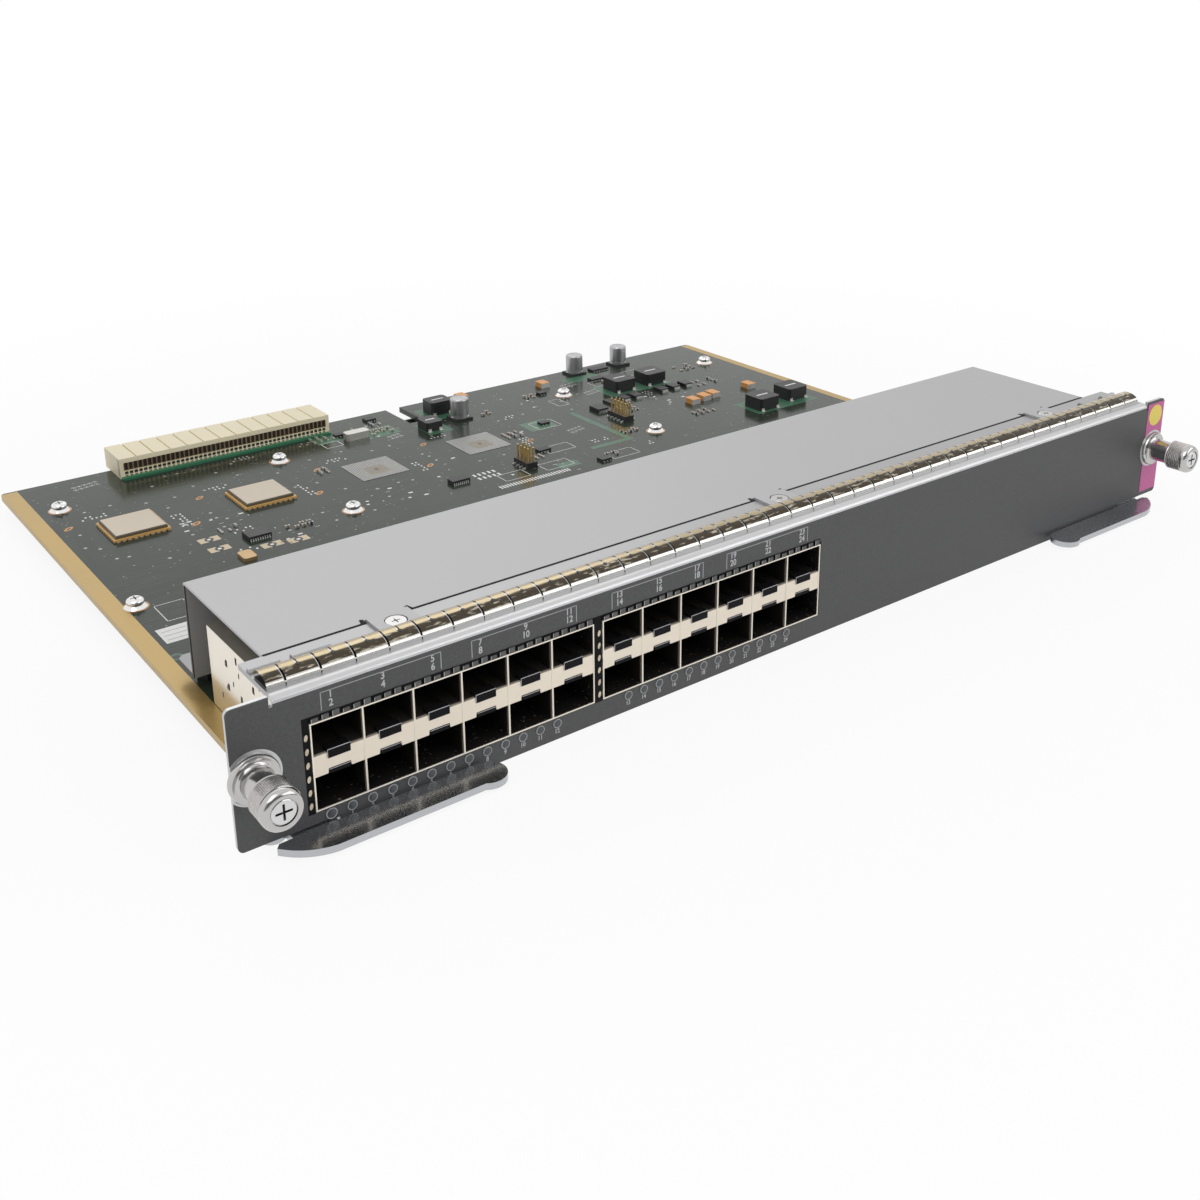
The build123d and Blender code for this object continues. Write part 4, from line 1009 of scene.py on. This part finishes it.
# Gull-wing chips with their leads
def leaded_chips():
    leaded = Piece()
    lead = ((0, 0.3, 0.75, 0.9), (0.22, 0.36, 0, 0.9), (0.3, 0.75, 0, 0.14))
    for x, y, w, d in ((-27.5, 171.5, 8.0, 6.0), (-113.8, 170.5, 8.6, 8.6), (71.5, 210.5, 5.6, 9.0)):
        body = d / 2 - 0.75
        leaded.box(about(x, w / 2), about(y, body), on_top(0.15, 1.7))
        for i in range(int(w / 0.9)):
            u = x - w / 2 + 0.5 + 0.9 * i
            for s in (-1, 1):
                for near, far, low, high in lead:
                    ends = sorted((y + s * (body + near), y + s * (body + far)))
                    leaded.box(about(u, 0.2), ends, on_top(low, high), 1)
    leaded.make("leaded_chips", [black_plastic, solder], replaces=("gull_wing_chips",))


# Solder joints and white lines of the coils, ceramics, transistors and headers
def part_trims():
    trims = Piece()
    for x, y, w, d, top in COILS:
        for s in (-1, 1):
            leg = sorted((x + s * (w / 2 - 0.6), x + s * (w / 2 - 2.2)))
            trims.box(leg, (y - d / 2 - 0.05, y - d / 2 + 0.2), on_top(0, 1.3))
            trims.box(leg, (y - d / 2 - 0.9, y - d / 2), on_top(0, 0.2))
        trims.stripe(about(x, w * 0.28), about(y, 0.5), lambda u, v: (u, v, top + 0.02), 1)
    for x in TRANSISTORS:
        trims.box(about(x, 1.6), (212.2, 213.1), on_top(0, 1.0))
    for x, y in CERAMICS:
        trims.box(about(x, 2.32), (y - 3.03, y - 2.1), on_top(0, 2.2))
        trims.box(about(x, 2.32), (y + 2.1, y + 3.03), on_top(0, 2.2))
    for x, y, rows in HEADERS:
        for i in range(rows):
            v = y + (i - (rows - 1) / 2) * 2.54
            for s in (-1, 1):
                a = sorted((x + s * 2.54, x + s * 4.0))
                trims.box(a, about(v, 0.35), on_top(0, 0.6))
    trims.make("part_trims", [solder, white_ink])


# Slits in the cage's left wall, painted black as the shade inside them
def cage_slit_shade():
    left = span("cage_shell_left")[0][0]
    slit_shade = Piece()
    slits = ((53.4, 25.1), (44.2, 25.1), (48.7, 20.7), (53.4, 17.7), (57.6, 13.5), (34.9, 25.1), (43.9, 17.9),
             (30.2, 27.8), (39.4, 13.5), (24.0, 25.1), (34.9, 17.9), (24.0, 17.9))
    for y, z in slits:
        slit_shade.disc((y, z), 0.95, lambda u, v: (left - 0.02, u, v), 14, 0, math.radians(98), 0.42)
    slit_shade.make("cage_slit_shade", [black_plastic])


# Frame of painted shade round the ports, with its spring teeth, a painted highlight on each tooth's left
# edge, and bright dots
def cage_teeth():
    teeth = Piece()
    for name in ("cage_shell_left", "cage_shell_right"):
        (a, b), _, (low, high) = span(name)
        # Black frame: painted shade between the teeth and round the cage
        teeth.stripe((a - 0.2, b + 0.2), (high + 0.02, high + 1.75), on_face(0.02))
        side = (low - 0.2, high + 1.75)
        teeth.stripe((a - 1.9, a - 0.02), side, on_face(0.02))
        if name == "cage_shell_right":
            teeth.stripe((a - 2.95, a - 1.9), side, on_face(0.02))
        count = 30
        for i in range(count):
            x = a + (i + 0.5) * (b - a) / count
            tall = (high + 0.15, high + 1.15 + 0.25 * (i % 3))
            teeth.box(about(x, 0.95), (-0.4, -0.02), tall, 1)
            # Lighter strip on each tooth's left edge: painted highlight
            teeth.box((x - 0.95, x - 0.75), (-0.45, -0.02), tall, 2)
        for i in range(6):
            z = low + 2.2 + 3.85 * i
            teeth.disc((a - 1.05, z), 0.95, on_face(0.1), 14, 3, math.radians(80), 0.5)
    teeth.make("cage_teeth", [port_shade_black, tooth_metal, test_dot_and_highlight, brass_spot])


# Painted highlights on the top and left rims of the latch tongues, which are painted shade
def tongue_rim_highlights():
    rims = Piece()
    for name in ("cage_latches_left", "cage_latches_right"):
        (a, b), (near, far), _ = span(name)
        pitch = (b - a - 5.8) / (COLUMNS - 1)
        for i in range(COLUMNS):
            x = a + 2.9 + i * pitch
            rims.box(about(x, 3.1), (near - 0.1, far), (20.9, 23.3))
            rims.box(about(x, 3.15), (near - 0.14, near), (23.2, 23.36), 1)
            rims.box((x - 3.18, x - 3.05), (near - 0.14, near), (21.0, 23.3), 1)
            rims.box(about(x, 2.8), (near - 0.1, near), (16.6, 17.75))
            rims.box(about(x, 2.85), (near - 0.12, near), (17.7, 17.82), 1)
    rims.make("tongue_rim_highlights", [port_shade_black, grey_ink_and_highlight])


# Painted shade in the gap along the shield's front edge and in the notches beside its tabs
def shield_gap_shade():
    gaps = Piece()
    for a, b in ((-173.4, -144.6), (-131.8, -6.5), (6.5, 131.9), (144.6, 167.6)):
        gaps.box((a, b), (20.3, 21.3), (41.7, 42.03))
    for x in (-138.2, 0.0, 138.2):
        for s in (-1, 1):
            gaps.flat([(x + s * 6.3, 20.7), (x + s * 7.9, 20.7), (x + s * 7.2, 23.4), (x + s * 6.6, 23.4)],
                      lambda u, v: (u, v, 42.05))
    gaps.make("shield_gap_shade", [port_shade_black])


camera()
studio_world()
floor()
area_light("key", (-0.9, -0.7, 1.4), (0, 0, 0), (1.2, 1.2), 8)
area_light("fill", (0.9, -1.2, 0.7), (0, -0.1, 0.02), (1.4, 0.9), 7)
area_light("back", (0.3, 1.3, 1.2), (0, 0, 0), (1.6, 0.8), 4)

face_marks()
gasket()
ferrules()
knurled_caps()
screw_springs()
pan_heads()
flush_heads()
foot_heads()
backplane()
edge_balls()
footprint_dots()
board_draw = random.Random(7)
board_copper(board_draw)
edge_strips()
board_ink(board_draw)
small_parts()
rolled_cans()
leaded_chips()
part_trims()
cage_slit_shade()
cage_teeth()
tongue_rim_highlights()
shield_gap_shade()

bpy.context.scene.view_settings.view_transform = "Standard"
